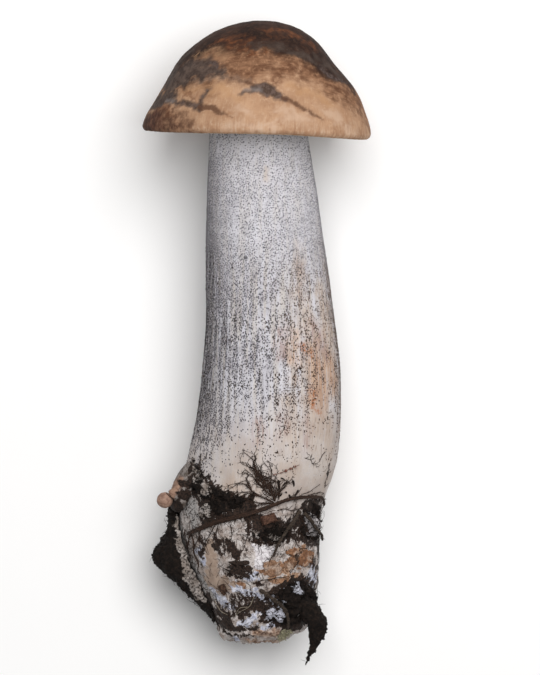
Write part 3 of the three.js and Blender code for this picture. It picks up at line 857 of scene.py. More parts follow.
def stem_masks():
    p, h = skin.grid, skin.form[..., 1]
    angle = np.broadcast_to(skin.angles, h.shape)
    masks = {
        name: painted(p, strokes, skin.at, soft, ragged, grain)
        for name, (soft, ragged, grain, strokes) in STEM_PAINT.items()
    }
    masks["dirt"] = dirt_mask(p, h, angle, masks)
    left = window(-angle, 38, 74, 120, 150)
    scar = np.array(SCAR)
    return masks | {
        "scar": stroke(p, skin.at(smooth_line(scar[:, :2], 3)), scar[:, 2], 0.6, 0.25, 1.2),
        "ridge": smoothstep(ridge_rows(skin.form), -0.55, 0.5) * window(h, 40, 58, 86, 112),
        "cover": scaber_cover(skin.form, angle, h) * fall(h, 136, 141),
        "shade": left * window(h, 50, 66, 108, 136),
        # side: brown streaks on the right flank, partly painted shade towards the stem's right edge.
        "side": window(angle, 54, 76, 105, 135) * window(h, 44, 60, 104, 122),
        "cream": fall(h + 4 * fractal(p, 9, 41, 2), 46, 72) * lerp(0.7, 1.0, smoothstep(angle, -60, 0)),
        # top: a paler upper stem, partly painted light that lifts the cap's shadow just under the cap.
        "top": 0.36 * smoothstep(h, 98, 112) * (1 - 0.8 * left) + 0.27 * smoothstep(h, 126, 134),
        "foot": fall(h + 2.5 * fractal(p, 5, 44, 2), 34, 42),
        "browned": browned(angle, h),
    }


def stem_look():
    look = Look("stem_flesh", roughness=0.86, specular=0.22, sheen=0.05)
    long_streak = look.noise(1.0, 3.0, 0.6, sides=(1.0, 22.0, 1.0))
    fine_streak = look.noise(1.0, 3.0, 0.6, sides=(0.42, 7.0, 0.42))
    fibril = look.noise(1.0, 3.0, 0.6, sides=(0.36, 5.0, 0.36))
    clump = look.noise(1.0, 4.0, 0.68, sides=(1.5, 2.6, 1.5))
    runs = look.noise(1.0, 4.0, 0.65, sides=(0.8, 3.2, 0.8))
    cloud = look.noise(9.0, 3.0, 0.6)
    stain = look.noise(2.2, 4.0, 0.65)
    bloom = look.noise(0.9, 3.0)
    grit = look.noise(0.55, 4.0, 0.7)
    fine = look.noise(0.34, 3.0, 0.7)

    # The specks are thickest where scabers cover the stem, and rare on the ridges.
    speck = look.noise(0.30, 1.0, 0.5)
    pressed = look.total((speck, 1.0), ("cover", 0.16), ("ridge", -0.09), start=-0.6 * 0.16)
    specks = look.times((pressed, 0.52, 0.60), ("cover", 0.05, 0.35))
    furrow = look.total(("ridge", -1.0), start=1.0)
    flank = look.math("MAXIMUM", "side", "shade")
    hairs = look.math("MAXIMUM", look.threads(2.6, 0.016), look.times(look.threads(1.1, 0.02), 0.8))
    not_buff = look.total(("buff", -0.8), start=1.0)

    # The foot: pale flesh with grey and brown staining, patches of mycelium and bare buff.
    foot = look.layers(
        (stain, 0.36, 0.66, (204, 197, 194), (166, 152, 144)),
        ((96, 80, 70), (runs, 0.53, 0.64), 0.65),
        ((52, 42, 36), (fine, 0.57, 0.65), 0.65),
    )
    rust = look.layers(
        (stain, 0.36, 0.62, (176, 143, 118), (142, 103, 76)),
        ((88, 60, 44), (runs, 0.54, 0.64), 0.8),
    )
    buff = look.layers(
        (look.noise(1.8, 3.0), 0.35, 0.65, (176, 156, 141), (158, 137, 122)),
        ((110, 84, 64), (fine, 0.60, 0.68), 0.5),
    )
    mould = look.layers(
        (bloom, 0.4, 0.65, (218, 219, 229), (178, 181, 200)),
        ((56, 51, 54), (fine, 0.58, 0.65), 0.85),
    )
    white = look.layers(
        (bloom, 0.42, 0.66, (226, 222, 224), (196, 188, 192)),
        ((60, 50, 48), (fine, 0.60, 0.66), 0.85),
    )
    flesh = (look.noise(1.1, 4.0, 0.7), 0.4, 0.6, (186, 158, 138), (112, 82, 64))
    speckled = look.layers(
        (172, 168, 166),
        ((50, 45, 43), (look.noise(0.6, 4.0, 0.7), 0.50, 0.58), 0.85),
    )
    soil = (look.noise(0.5, 4.0, 0.7), 0.42, 0.62, (26, 20, 17), (62, 47, 39))

    warm = (long_streak, 0.35, 0.62, (198, 180, 162), (172, 148, 129))
    peach = (long_streak, 0.35, 0.62, (200, 168, 142), (174, 138, 113))
    cream = (cloud, 0.38, 0.64, (194, 184, 177), (180, 164, 152))
    colour = look.layers(
        (cloud, 0.35, 0.68, (206, 205, 212), (190, 188, 195)),
        ((196, 190, 186), (long_streak, 0.42, 0.66)),
        (warm, "warm", (fine_streak, 0.80, 0.42), 0.85),
        (peach, "peach", (fine_streak, 0.80, 0.42)),
        (cream, "cream", 0.85),
        # Grey furrows with the finest specks in them, and pale ridges between.
        ((138, 132, 136), furrow, "cover", 0.3),
        ((98, 91, 90), "shade", 0.5),
        ((196, 192, 197), "shade", (fibril, 0.47, 0.38), 0.75),
        ((122, 100, 86), "warm", (fibril, 0.55, 0.66), 0.55),
        ((124, 119, 124), (clump, 0.52, 0.66), ("cover", 0.1, 0.7), 0.4),
        ((216, 215, 221), (clump, 0.46, 0.34), "cover", 0.4),
        # Brown streaks on the right flank, partly painted shade towards its edge.
        ((136, 116, 102), "side", (fine_streak, 0.36, 0.58), 0.75),
        ((54, 46, 42), flank, (fibril, 0.53, 0.61), 0.85),
        ((82, 79, 86), specks, 0.62),
        ((98, 82, 70), specks, "browned", 0.55),
        ((150, 140, 134), "cream", (grit, 0.5, 0.64), 0.3),
        # A paler upper stem, partly painted light over the cap's shadow near the neck.
        ((224, 223, 229), "top"),
        ((214, 213, 218), (grit, 0.57, 0.72), 0.6),
        ((142, 134, 130), (fine_streak, 0.60, 0.75), 0.3),
        ((142, 102, 88), "red", (fine_streak, 0.35, 0.6), 0.6),
        ((160, 100, 60), "orange", (grit, 0.62, 0.4)),
        ((188, 172, 158), "scar", 0.6),
        (foot, "foot"),
        (rust, look.torn("rust", 0.3, 0.75, (grit, 0.8))),
        (buff, "buff"),
        (flesh, "flesh"),
        (mould, look.torn("mycelium", 0.35, 0.65, (grit, 1.3))),
        (white, ("white", 0.2, 0.7)),
        (speckled, "speckled"),
        # Dirt and hair-fine roots, ragged at every edge.
        (soil, look.torn("dirt", 0.42, 0.66, (runs, 1.5), (fine, 1.1))),
        ((44, 32, 27), hairs, "foot", (stain, 0.34, 0.5), not_buff, 0.7),
    )
    return look.finish(colour, look.total((grit, 0.6), (fine_streak, 0.8)), strength=0.5, distance=0.16)


def make_stem():
    points, faces = closed_grid(skin.grid)
    masks = {key: with_poles(values) for key, values in stem_masks().items()}
    make_piece("stem_skin", points, faces, stem_look(), ["stem"], masks)


make_stem()

# ---- Scabers ------------------------------------------------------------------------------------

# Pitch of the scabers, and the band of the stem they grow on.
FINE_PITCH, FINE_LOW, FINE_HIGH = 0.47, 46, 137
CLUMP_PITCH, CLUMP_LOW, CLUMP_HIGH = 1.05, 41, 106
JITTER = 0.42  # how far a scaber strays from its place, in pitches


def scaber_candidates(low, high, pitch, rng):
    """Jittered [angle, height] places over a band of the stem, about one pitch apart."""
    places = []
    for row, height in enumerate(np.arange(low, high, pitch)):
        radius = station_value(STATION_RADII, height)
        count = int(2 * math.pi * radius / pitch)
        k = np.arange(count) + 0.5 * (row % 2) + rng.uniform(-JITTER, JITTER, count)
        heights = height + rng.uniform(-JITTER, JITTER, count) * pitch
        places.append(np.stack([k / count * 360 - 180, heights], -1))
    return np.vstack(places)


def side_axes(places, widths, heights, lengths, twist, lean):
    """Side, up-the-stem and outward axes of small granules that point up a little."""
    out = skin.normal_at(places)
    up = unit(np.array([0, 1.0, 0]) - out * out[:, 1:2])
    side = np.cross(up, out)
    cos, sin = np.cos(twist)[:, None], np.sin(twist)[:, None]
    turned_side = side * cos + up * sin
    turned_up = up * cos - side * sin
    outward = unit(out + turned_up * lean[:, None])
    sides = zip((turned_side, turned_up, outward), (widths, lengths, heights))
    return np.stack([way * size[:, None] for way, size in sides], 1)


# Two shapes of scaber: a granule with a ridge and one with a point.
GRANULE = [
    (-0.9, -0.7, -0.5), (0.8, -0.9, -0.5), (1.0, 0.7, -0.5), (-0.7, 1.0, -0.5),
    (-0.35, -0.2, 0.9), (0.4, 0.35, 1.0),
]
GRANULE_FACES = [(3, 2, 1, 0), (0, 1, 4), (1, 2, 5), (1, 5, 4), (2, 3, 5), (3, 4, 5), (3, 0, 4)]
POINT = [(-0.9, -0.8, -0.4), (0.9, -0.9, -0.4), (1.0, 0.8, -0.4), (-0.8, 1.0, -0.4), (0.05, 0.1, 1.0)]
POINT_FACES = [(3, 2, 1, 0), (0, 1, 4), (1, 2, 4), (2, 3, 4), (3, 0, 4)]


def fine_scabers():
    rng = np.random.default_rng(21)
    places = scaber_candidates(FINE_LOW, FINE_HIGH, FINE_PITCH, rng)
    angle, h = places.T
    points = skin.at(places)
    lined = fall(h, 82, 108)
    furrow = smoothstep(-ridge_rows(points), -0.5, 0.45)
    wanted = scaber_cover(points, angle, h) * lerp(1.0, 0.25 + 1.2 * furrow, lined)
    wanted *= 1 - painted(points, [SCAR], skin.at, 1.2, 0.8, 1.5)
    kept = rng.uniform(0, 1, len(places)) < wanted
    places, lined = places[kept], lined[kept]
    count = len(places)
    size = rng.uniform(0.7, 1.3, count) * lerp(0.145, 0.15, lined)
    axes = side_axes(places, size, rng.uniform(0.06, 0.13, count), size * lerp(1.0, 1.5, lined),
                     rng.normal(0, 0.5, count), rng.uniform(0.1, 0.6, count))
    heap = Heap()
    shade = np.clip(rng.normal(0.75, 0.25, count) - 0.5 * lined, 0, 1)
    heap.scatter(POINT, POINT_FACES, skin.at(places, 0.02), axes, shade=shade, brown=browned(*places.T))
    return heap


# Denser clusters of scabers: angle, height, spread in millimetres and number.
CLUSTERS = [
    (-1, 61.7, 0.8, 12), (2, 61.1, 0.6, 7), (8, 61.6, 1.0, 12), (12, 60, 1.5, 20), (15, 58.5, 1.1, 12),
    (9, 57.5, 1.0, 10), (-8, 59, 1.8, 20), (-4, 56.5, 1.1, 12), (18, 66.2, 1.0, 14), (22, 68.3, 1.0, 12),
    (24, 74, 1.2, 18), (4, 65.8, 0.9, 12), (-1, 66.9, 0.8, 8), (5, 72, 1.2, 16), (3, 54.4, 0.25, 5),
    (-3, 86, 1.7, 24), (19, 86, 1.4, 16), (37, 86, 1.5, 16), (-38, 81, 1.6, 20), (-36, 70, 1.6, 22),
    (20, 73, 1.3, 16), (-26, 86, 1.4, 14), (-56, 49, 1.6, 22), (-50, 51, 1.2, 12), (44, 84, 1.2, 10),
    (52, 61, 0.4, 5), (30, 79, 1.2, 16), (8, 82, 1.4, 20), (-6, 80, 1.4, 18), (36, 70, 1.4, 14),
    (14, 88, 1.2, 14),
]


def degrees_for(height, across):
    """The turn round the stem, in degrees, that is `across` millimetres long at a height."""
    return across / station_value(STATION_RADII, height) * 180 / math.pi


def coarse_scabers():
    """Loose clusters of larger, darker granules in the furrows of the lower stem."""
    rng = np.random.default_rng(22)
    seeds = scaber_candidates(CLUMP_LOW, CLUMP_HIGH, CLUMP_PITCH, rng)
    angle, h = seeds.T
    points = skin.at(seeds)
    furrow = smoothstep(-ridge_rows(points), -0.2, 0.6)
    clumps = smoothstep(fractal(points, (3.5, 6, 3.5), 92, 2), -0.3, 0.45)
    wanted = (0.14 + 0.75 * furrow) * (0.12 + 0.95 * clumps) * window(h, 40, 60, 88, 108)
    wanted += 0.45 * window(-angle, 50, 76, 120, 150) * smoothstep(h, 54, 64)
    wanted -= 0.30 * fall(h, 46, 60) * smoothstep(-angle, 20, 50)
    grains, sizes = [], []
    for a, height in seeds[rng.uniform(0, 1, len(seeds)) < wanted]:
        count = rng.integers(1, 5)
        big = rng.uniform(0.55, 1.15)
        for _ in range(count):
            grains.append((a + degrees_for(height, rng.normal(0, 0.22)), height + rng.normal(0, 0.55)))
            sizes.append(big * rng.uniform(0.12, 0.23))
    for a, height, width, count in CLUSTERS:
        off = rng.normal(0, width / 2, (count, 2)) * (degrees_for(height, 1), 1.4)
        grains += [(a + da, height + dh) for da, dh in off]
        sizes += rng.uniform(0.11, 0.25, count).tolist()
    grains, sizes = np.array(grains), np.array(sizes)
    count = len(grains)
    spans = ((0.6, 1.0), (0.5, 0.9), (0.9, 1.7))
    widths, heights, lengths = (sizes * rng.uniform(*span, count) for span in spans)
    twist, lean = rng.normal(0, 0.5, count), rng.uniform(0, 0.7, count)
    axes = side_axes(grains, widths, heights, lengths, twist, lean)
    heap = Heap()
    shade = np.clip(rng.normal(0.35, 0.3, count), 0, 1)
    heap.scatter(GRANULE, GRANULE_FACES, skin.at(grains, 0.03), axes, shade=shade, brown=browned(*grains.T))
    return heap


def scaber_look(name, dark, light):
    look = Look(name, roughness=0.9, specular=0.15)
    warm = look.layers((48, 35, 26), ((116, 92, 74), "shade"))
    speck = look.noise(0.4, 2.0)
    colour = look.layers(dark, (light, "shade"), (light, (speck, 0.5, 0.7), 0.4), (warm, "brown", 0.85))
    return look.finish(colour)


def make_scabers():
    upper = scaber_look("upper_scabers", (44, 41, 44), (112, 110, 118))
    lower = scaber_look("lower_scabers", (36, 30, 27), (84, 73, 66))
    heap_piece("scabers_fine", fine_scabers(), upper, "stem_flesh")
    heap_piece("scabers_coarse", coarse_scabers(), lower, "stem_flesh")


make_scabers()

# ---- Cap ----------------------------------------------------------------------------------------

CAP_RADIUS = 30.0
CAP_HEIGHT = 28.7
CAP_DEPTH_SHARE = 0.98
DOME_POWER = 1.3
CROWN_SHIFT = 0.9
RIM_ROUND = 1.3
CAP_CEILING = 11.4
CAP_COLUMNS = 384
DOME_ROWS, RIM_ROWS, UNDER_ROWS = 112, 14, 26
CAP_BLUR = (1.2, 4.0)
# Hollows pressed into the cap: direction, height, depth, spread and turn.
CAP_DENTS = [
    (88, 18.5, 2.1, 5.5, 38), (100, 7, 0.6, 5, 38), (-92, 9.5, 1.7, 7, 48), (30, 12, 0.7, 6, 30),
    (175, 14, 1.4, 6, 35), (-150, 22, 1.0, 5, 30),
]
CAP_TURN = np.array([
    [math.cos(CAP_LEAN), -math.sin(CAP_LEAN), 0],
    [math.sin(CAP_LEAN), math.cos(CAP_LEAN), 0],
    [0, 0, 1],
])


def cap_to_own(points):
    return points @ CAP_TURN.T + CAP_PLACE


def ceiling_at(reach):
    return CAP_CEILING * (1 - reach**2.4)


def turn_between(a, b):
    return np.abs((a - b + 540) % 360 - 180)


def shape_cap(p):
    """The cap's lobes, dents and uneven rim, for points of a plain dome."""
    direction = np.degrees(np.arctan2(p[..., 0], p[..., 2]))
    a, height = np.radians(direction), p[..., 1]
    from_axis = np.hypot(p[..., 0], p[..., 2])
    reach = from_axis / CAP_RADIUS
    low = fall(height, 0, CAP_HEIGHT * 0.8)
    inward = sum(
        depth * np.exp(-(((height - at) / spread) ** 2) - (turn_between(direction, towards) / turn) ** 2)
        for towards, at, depth, spread, turn in CAP_DENTS
    )
    lobes = -low * (0.4 * np.cos(2 * a) + 0.2 * np.sin(5 * a - 0.4))
    above = np.clip(height, 0, CAP_HEIGHT) / CAP_HEIGHT
    on_dome = smoothstep(reach / np.maximum(np.sqrt(1 - above**1.5), 0.1), 0.6, 0.95)
    scale = 1 + on_dome * (lobes - inward) / np.maximum(from_axis, 6)
    wave = 0.6 * np.sin(a) + 0.45 * np.sin(2 * a + 2.4) + 0.3 * np.sin(3 * a + 0.5)
    x = p[..., 0] * scale + CROWN_SHIFT * above**3
    y = height + reach**2 * low * wave
    return np.stack([x, y, p[..., 2] * scale * CAP_DEPTH_SHARE], -1)


class Cap:
    """The cap's skin as a grid of rings from the crown, over the rim, to the middle of its underside."""

    def __init__(self):
        rise = np.linspace(math.pi / 2, 0, DOME_ROWS + 1)[1:]
        dome = np.stack([CAP_RADIUS * np.cos(rise), CAP_HEIGHT * np.sin(rise) ** DOME_POWER], -1)
        turn = np.radians(np.linspace(0, 150, RIM_ROWS + 1)[1:])
        rim = np.stack([CAP_RADIUS - RIM_ROUND + RIM_ROUND * np.cos(turn), -RIM_ROUND * np.sin(turn)], -1)
        reach = np.linspace(0.9, 0.02, UNDER_ROWS)
        under = np.stack([CAP_RADIUS * reach, ceiling_at(reach)], -1)
        profile = np.vstack([dome, rim, under])
        plain = turned(profile, CAP_COLUMNS)
        shape = plain.shape[:2]
        self.direction = np.broadcast_to(np.linspace(-180, 180, CAP_COLUMNS, endpoint=False), shape)
        self.height = plain[..., 1]
        self.along = np.broadcast_to(run_along(profile)[:, None], shape)
        self.form = snapped(cap_to_own(shape_cap(plain)), cad_tree("cap"), CAP_BLUR)
        self.normals = grid_normals(self.form, flip=True)
        self.on_top = np.zeros(shape)
        self.on_top[: DOME_ROWS + RIM_ROWS // 2] = 1
        # Coordinates for fibres that run down from the crown, and for arcs that sweep round the dome.
        a = np.radians(self.direction)
        side, front = CAP_RADIUS * np.sin(a), CAP_RADIUS * np.cos(a)
        arch = 9 * (1 - np.cos(a - math.radians(12)))
        self.grain = np.stack([side, self.along / 9, front], -1)
        self.sweep = np.stack([side / 9, self.height + arch, front / 9], -1)

    def at(self, places):
        """Points on the dome at [direction, height] places, where height is that of the plain dome."""
        places = np.asarray(places, float)
        rise = np.arcsin(np.clip(places[..., 1] / CAP_HEIGHT, 0, 1) ** (1 / DOME_POWER))
        row = np.clip((1 - rise / (math.pi / 2)) * DOME_ROWS - 1, 0, DOME_ROWS - 1.001)
        return between_rings((self.form,), row, places[..., 0])[0]


cap = Cap()

# The lower edge of the dark crown: [direction, height].
CROWN_EDGE = [
    (-180, 14), (-140, 15.5), (-110, 12.5), (-82, 12.4), (-68, 14.6), (-60, 15.4), (-52, 17.6),
    (-44, 20.4), (-30, 20.6), (-16, 20.8), (2, 20.3), (15, 19.4), (24, 18.4), (37, 16.6), (46, 15.2),
    (57, 13.8), (70, 11.8), (95, 12), (130, 15.5), (180, 14),
]
# The lower edge of the brown zone below it.
BROWN_EDGE = [
    (-180, 9), (-130, 6), (-100, 5), (-81, 7.5), (-62, 10), (-49, 11), (-29, 11.6), (-17, 12.9),
    (-2, 13.9), (14, 14.8), (24, 13.7), (33, 11.9), (42, 10.4), (51, 8.6), (61, 6.8), (80, 5),
    (120, 7), (180, 9),
]
# Painted on the cap: lines of (direction, height, half width in millimetres).
CAP_ORANGE = [
    [(4, 25.6, 0.5), (19, 25.9, 1.3), (36, 26.0, 0.9)],
    [(45, 24.6, 0.7), (58, 22.4, 1.4)],
    [(-44, 22.2, 0.8), (-34, 23.2, 1.5), (-16, 22.9, 1.0)],
    [(-30, 21.4, 0.5), (-16, 21.0, 0.8), (0, 20.2, 0.5)],
    [(120, 22, 1.0), (150, 20, 1.8)],
    [(-150, 18, 1.6), (-130, 20, 1.0)],
]
CAP_GREY = [
    [(-11, 22.3, 0.9), (2, 21.9, 1.6), (15, 22.0, 1.7), (26, 21.0, 1.7), (40, 19.3, 1.8), (57, 17.4, 1.5),
     (64, 16, 0.8)],
    [(-76, 17, 1.4), (-70, 20, 1.2)],
    [(160, 16, 1.4), (190, 15, 1.8)],
]
CAP_CREAM = [
    [(-56, 18.9, 0.8), (-50, 19.4, 1.2), (-44, 19.0, 0.7)],
    [(-45, 20.9, 0.4), (-36, 19.9, 0.9), (-27, 18.6, 0.9)],
    [(-37, 20.4, 0.7), (-33, 19.6, 0.7)],
]
# The redder, darker skin low on both sides.
CAP_RUSSET = [
    [(50, 14, 1.2), (58, 11.6, 2.0), (64, 9.2, 1.8), (70, 7.6, 0.8)],
    [(77, 9.5, 1.8), (80, 5, 1.2), (82, 1.5, 1.0)],
    [(-56, 10.2, 0.9), (-46, 9.4, 1.2), (-38, 8.8, 0.5)],
    [(-66, 5.2, 1.2), (-56, 4.4, 1.3), (-50, 3.4, 0.6)],
    [(9, 12.6, 0.5), (13, 14.2, 1.0), (20, 16.4, 1.2), (26, 16.2, 0.8)],
    [(100, 8, 2.0), (130, 6, 1.6)],
]
CAP_BANDS = [
    [(-98, 11.4, 3.2), (-80, 12.6, 3.1), (-66, 13.4, 2.9), (-52, 14.2, 2.6), (-40, 15.0, 2.0),
     (-31, 15.0, 1.5), (-24, 14.6, 0.7)],
    [(-66, 10, 1.4), (-56, 11.2, 1.1), (-44, 12.4, 0.7)],
    [(-60, 16, 1.2), (-48, 16.8, 1.4), (-36, 17, 0.8)],
    [(-98, 11.4, 2.8), (-120, 10, 2.2), (-140, 11, 0.8)],
    [(-80, 7.0, 1.8), (-71, 7.2, 1.7), (-62, 8.0, 1.2), (-56, 8.0, 0.5)],
]
CAP_STREAKS = [
    [(-4, 11.4, 0.9), (2, 10.9, 1.7), (7, 10.3, 1.7), (12, 9.0, 1.1), (16, 8.0, 0.4)],
    [(-84, 5.2, 1.3), (-72, 5.7, 1.3), (-64, 6.0, 0.6)],
    [(-69, 8.2, 0.6), (-62, 8.2, 0.7), (-56, 7.6, 0.3)],
    [(-66, 7.4, 0.6), (-53, 6.7, 0.8), (-43, 6.6, 0.8), (-34, 5.7, 0.9)],
    [(-11, 9.4, 0.3), (-6, 10.0, 0.6), (-1, 10.3, 0.5)],
    [(-29, 10.3, 0.3), (-32, 8.3, 0.6), (-33, 6.8, 0.55), (-32, 5.4, 0.8)],
    [(-35, 17.4, 0.5), (-32, 17.0, 0.9), (-29, 16.0, 0.6)],
    [(46, 17.6, 0.4), (49, 16.9, 1.1), (51, 15.5, 1.1), (58, 14.6, 0.7), (69, 13.8, 0.4)],
    [(110, 9, 0.5), (128, 7.2, 0.9), (140, 5.2, 0.3)],
    [(-160, 8, 0.3), (-148, 9.2, 0.9), (-136, 8.4, 0.5)],
]
# Thinner, browner scratches.
CAP_SCRATCHES = [
    [(-17, 13.4, 0.3), (-10, 12.6, 0.35), (-4, 11.9, 0.5)],
    [(14, 8.5, 0.6), (19, 7.5, 0.6), (25, 5.8, 0.5), (31, 4.2, 0.4), (36, 2.8, 0.05)],
    [(-32, 5.6, 0.6), (-25, 5.3, 0.95), (-20, 4.3, 0.7), (-12, 3.2, 0.1)],
    [(2, 19.6, 0.05), (14, 18.8, 0.15), (22, 17.4, 0.2), (28, 15.6, 0.05)],
]
# Warm honey-coloured skin, paler skin and a grey haze under the left band.
CAP_HONEY = [
    [(-48, 9.4, 0.9), (-34, 10.8, 1.7), (-22, 10.2, 1.8), (-12, 8.4, 1.0)],
    [(20, 12, 1.0), (32, 10, 1.5), (44, 7, 1.0)],
]
CAP_PALE = [
    [(8, 6.4, 0.6), (13, 5.2, 1.5), (18, 3.6, 1.9), (26, 2.6, 1.2)],
    [(-16, 0.6, 0.5), (-4, 1.1, 1.2), (8, 0.8, 0.9)],
    [(36, 6.0, 0.8), (46, 3.4, 1.5), (52, 1.4, 0.9)],
    [(-12, 6.0, 0.8), (-6, 4.8, 1.0)],
]
CAP_HAZE = [[(-36, 12.8, 0.8), (-25, 13.3, 1.1), (-15, 13.1, 1.0), (-8, 12.4, 0.5)]]
CAP_GLINT = [
    [(-8, 10.5, 0.2), (-3, 10.6, 0.35), (1, 10.4, 0.2)],
    [(-62, 7.0, 0.3), (-54, 6.9, 0.3)],
]
# How soft and how ragged the edges are, the grain of the rags, how far they sway, and the lines.
CAP_PAINT = {
    "orange": (2.6, 2.0, 2.0, 1.2, CAP_ORANGE),
    "grey": (2.0, 1.6, 2.6, 1.2, CAP_GREY),
    "cream": (1.6, 1.2, 1.6, 0.4, CAP_CREAM),
    "russet": (2.6, 1.6, 2.4, 1.2, CAP_RUSSET),
    "band": (2.4, 1.3, 3.0, 0.9, CAP_BANDS),
    "haze": (2.0, 0.8, 3.0, 0.6, CAP_HAZE),
    "honey": (3.0, 1.4, 2.4, 1.2, CAP_HONEY),
    "pale": (2.4, 1.4, 2.2, 1.2, CAP_PALE),
    "streak": (1.1, 0.6, 1.6, 0.4, CAP_STREAKS),
    "scratch": (0.7, 0.35, 1.2, 0.4, CAP_SCRATCHES),
    "glint": (0.9, 0.3, 1.0, 0.4, CAP_GLINT),
}


def cap_masks():
    p = cap.form
    wander = np.stack([fractal(p, 4.5, seed, 3) for seed in (101, 105, 109)], -1)
    drift = fractal(p, (7, 4.5, 7), 120, 3)

    def above(edge_line, soft, sway):
        edge = np.interp(cap.direction, *np.array(edge_line, float).T)
        return smoothstep(cap.height - edge + sway * drift, -soft, soft)

    masks = {
        name: painted(p + sway * wander, strokes, cap.at, soft, ragged, grain)
        for name, (soft, ragged, grain, sway, strokes) in CAP_PAINT.items()
    }
    low = fall(cap.height + 4.5 * drift, 2.0, 9.5) * fall(-cap.direction, 105, 150)
    sideways = 18 * drift - cap.direction
    masks |= {
        "crown": above(CROWN_EDGE, 2.6, 2.0),
        "brown": above(BROWN_EDGE, 5.0, 4.0),
        "rim": fall(cap.height + 1.6 * drift, -0.5, 4.5),
        "left_rim": smoothstep(sideways, 38, 66) * low,
        "left_brown": smoothstep(sideways, 24, 54) * low,
    }
    return {name: mask * cap.on_top for name, mask in masks.items()} | {"under": 1 - cap.on_top}


def carve_cap(masks):
    """Fine fibres, dimples, the sunken streaks and the frayed rim."""
    p = cap.form
    slope = smoothstep(cap.along, 6, 20) * cap.on_top
    relief = 0.035 * slope * noise(cap.grain, 0.55, 130) + 0.03 * slope * noise(cap.grain, 0.9, 131)
    relief += 0.10 * fractal(p, 5.0, 133, 3) * cap.on_top
    relief -= 0.16 * masks["streak"] + 0.08 * masks["band"]
    edge = np.exp(-((cap.along - cap.along[DOME_ROWS + RIM_ROWS // 3, 0]) / 0.9) ** 2)
    relief += edge * (0.16 * fractal(cap.grain, 0.9, 137, 3, 0.7) - 0.12)
    return p + cap.normals * relief[..., None]


def cap_look():
    look = Look("cap_skin", specular=0.07, gate=(0.0, 0.22))
    body = look.place
    look.place = look.attribute("grain", "Vector")
    fibre = look.noise(0.7, 4.0, 0.65)
    thread = look.noise(0.3, 3.0, 0.6)
    look.place = look.attribute("sweep", "Vector")
    arc = look.noise(1.1, 4.0, 0.66, distort=0.5)
    fine_arc = look.noise(0.38, 3.0, 0.65, distort=0.3)
    look.place = body
    cloud = look.noise(7.0, 4.0, 0.62)
    mottle = look.noise(2.2, 5.0, 0.68)
    blotch = look.noise(1.1, 4.0, 0.68)
    grit = look.noise(0.5, 3.0, 0.65)
    both = look.total((arc, 0.5), (mottle, 0.5))

    low_brown = look.layers(
        (mottle, 0.36, 0.62, (150, 114, 88), (106, 77, 60)),
        ((88, 62, 48), (fibre, 0.5, 0.64), 0.4),
    )
    left = look.layers(
        (mottle, 0.36, 0.64, (96, 63, 51), (66, 44, 36)),
        ((52, 34, 29), (fibre, 0.48, 0.64), 0.35),
    )
    brown = look.layers(
        (both, 0.38, 0.62, (142, 104, 78), (96, 64, 46)),
        ((84, 55, 41), (fine_arc, 0.52, 0.66), 0.35),
        ((162, 122, 92), (blotch, 0.48, 0.32), 0.5),
    )
    dark = look.layers(
        (cloud, 0.4, 0.62, (60, 41, 33), (40, 28, 24)),
        ((84, 56, 42), (mottle, 0.46, 0.68), 0.6),
        ((34, 25, 22), (fine_arc, 0.5, 0.66), 0.25),
    )
    grey = look.layers(
        (mottle, 0.38, 0.64, (84, 71, 64), (58, 47, 42)),
        ((112, 98, 88), (blotch, 0.56, 0.68), 0.4),
    )
    russet = (mottle, 0.36, 0.64, (140, 100, 74), (98, 65, 48))
    orange = (blotch, 0.38, 0.62, (126, 78, 49), (82, 50, 35))
    smoke = (mottle, 0.36, 0.66, (92, 78, 71), (60, 49, 45))
    streak = (blotch, 0.4, 0.62, (58, 46, 42), (92, 78, 73))
    flesh = (mottle, 0.4, 0.62, (206, 192, 172), (184, 164, 142))
    colour = look.layers(
        (cloud, 0.34, 0.64, (184, 147, 117), (164, 127, 99)),
        ((150, 112, 86), (mottle, 0.5, 0.74), 0.65),
        ((200, 168, 140), (blotch, 0.46, 0.3), 0.45),
        ((154, 118, 92), (fibre, 0.52, 0.68), 0.3),
        ((202, 174, 148), (thread, 0.45, 0.3), 0.3),
        ((180, 139, 102), look.torn("honey", 0.1, 1.0, (mottle, 1.0)), 0.6),
        ((198, 168, 144), look.torn("pale", 0.1, 1.0, (mottle, 1.0)), 0.7),
        ((192, 168, 147), "rim", (fibre, 0.56, 0.42), (mottle, 0.6, 0.4), 0.6),
        ((140, 106, 84), "rim", (fibre, 0.44, 0.66), (mottle, 0.4, 0.6), 0.55),
        (low_brown, look.torn("left_brown", 0.05, 0.9, (mottle, 1.1)), 0.9),
        (left, look.torn("left_rim", 0.1, 1.0, (mottle, 1.4)), 0.95),
        (russet, look.torn("russet", 0.05, 1.0, (mottle, 1.2)), 0.88),
        (brown, look.torn("brown", 0.05, 0.98, (both, 1.2)), 0.92),
        (dark, look.torn("crown", 0.02, 0.98, (mottle, 1.3))),
        (orange, look.torn("orange", 0.1, 1.0, (mottle, 1.2)), 0.8),
        (grey, look.torn("grey", 0.05, 0.95, (mottle, 1.0)), 0.8),
        ((132, 114, 101), look.torn("haze", 0.1, 1.0, (mottle, 0.9)), 0.5),
        (smoke, look.torn("band", -0.1, 0.7, (both, 1.0)), 0.95),
        ((172, 134, 102), "cream", (blotch, 0.36, 0.62), 0.7),
        (streak, look.torn("streak", 0.08, 0.9, (blotch, 0.8)), 0.92),
        ((92, 64, 49), look.torn("scratch", 0.1, 0.95, (blotch, 0.9)), 0.85),
        ((158, 152, 150), "glint", 0.45),
        (flesh, "under"),
    )
    look.set(look.shader, {"Roughness": look.total((cloud, 0.2), start=0.62)})
    height = look.total((grit, 0.5), (fibre, 0.7), (both, 0.5))
    return look.finish(colour, height, strength=0.4, distance=0.12)


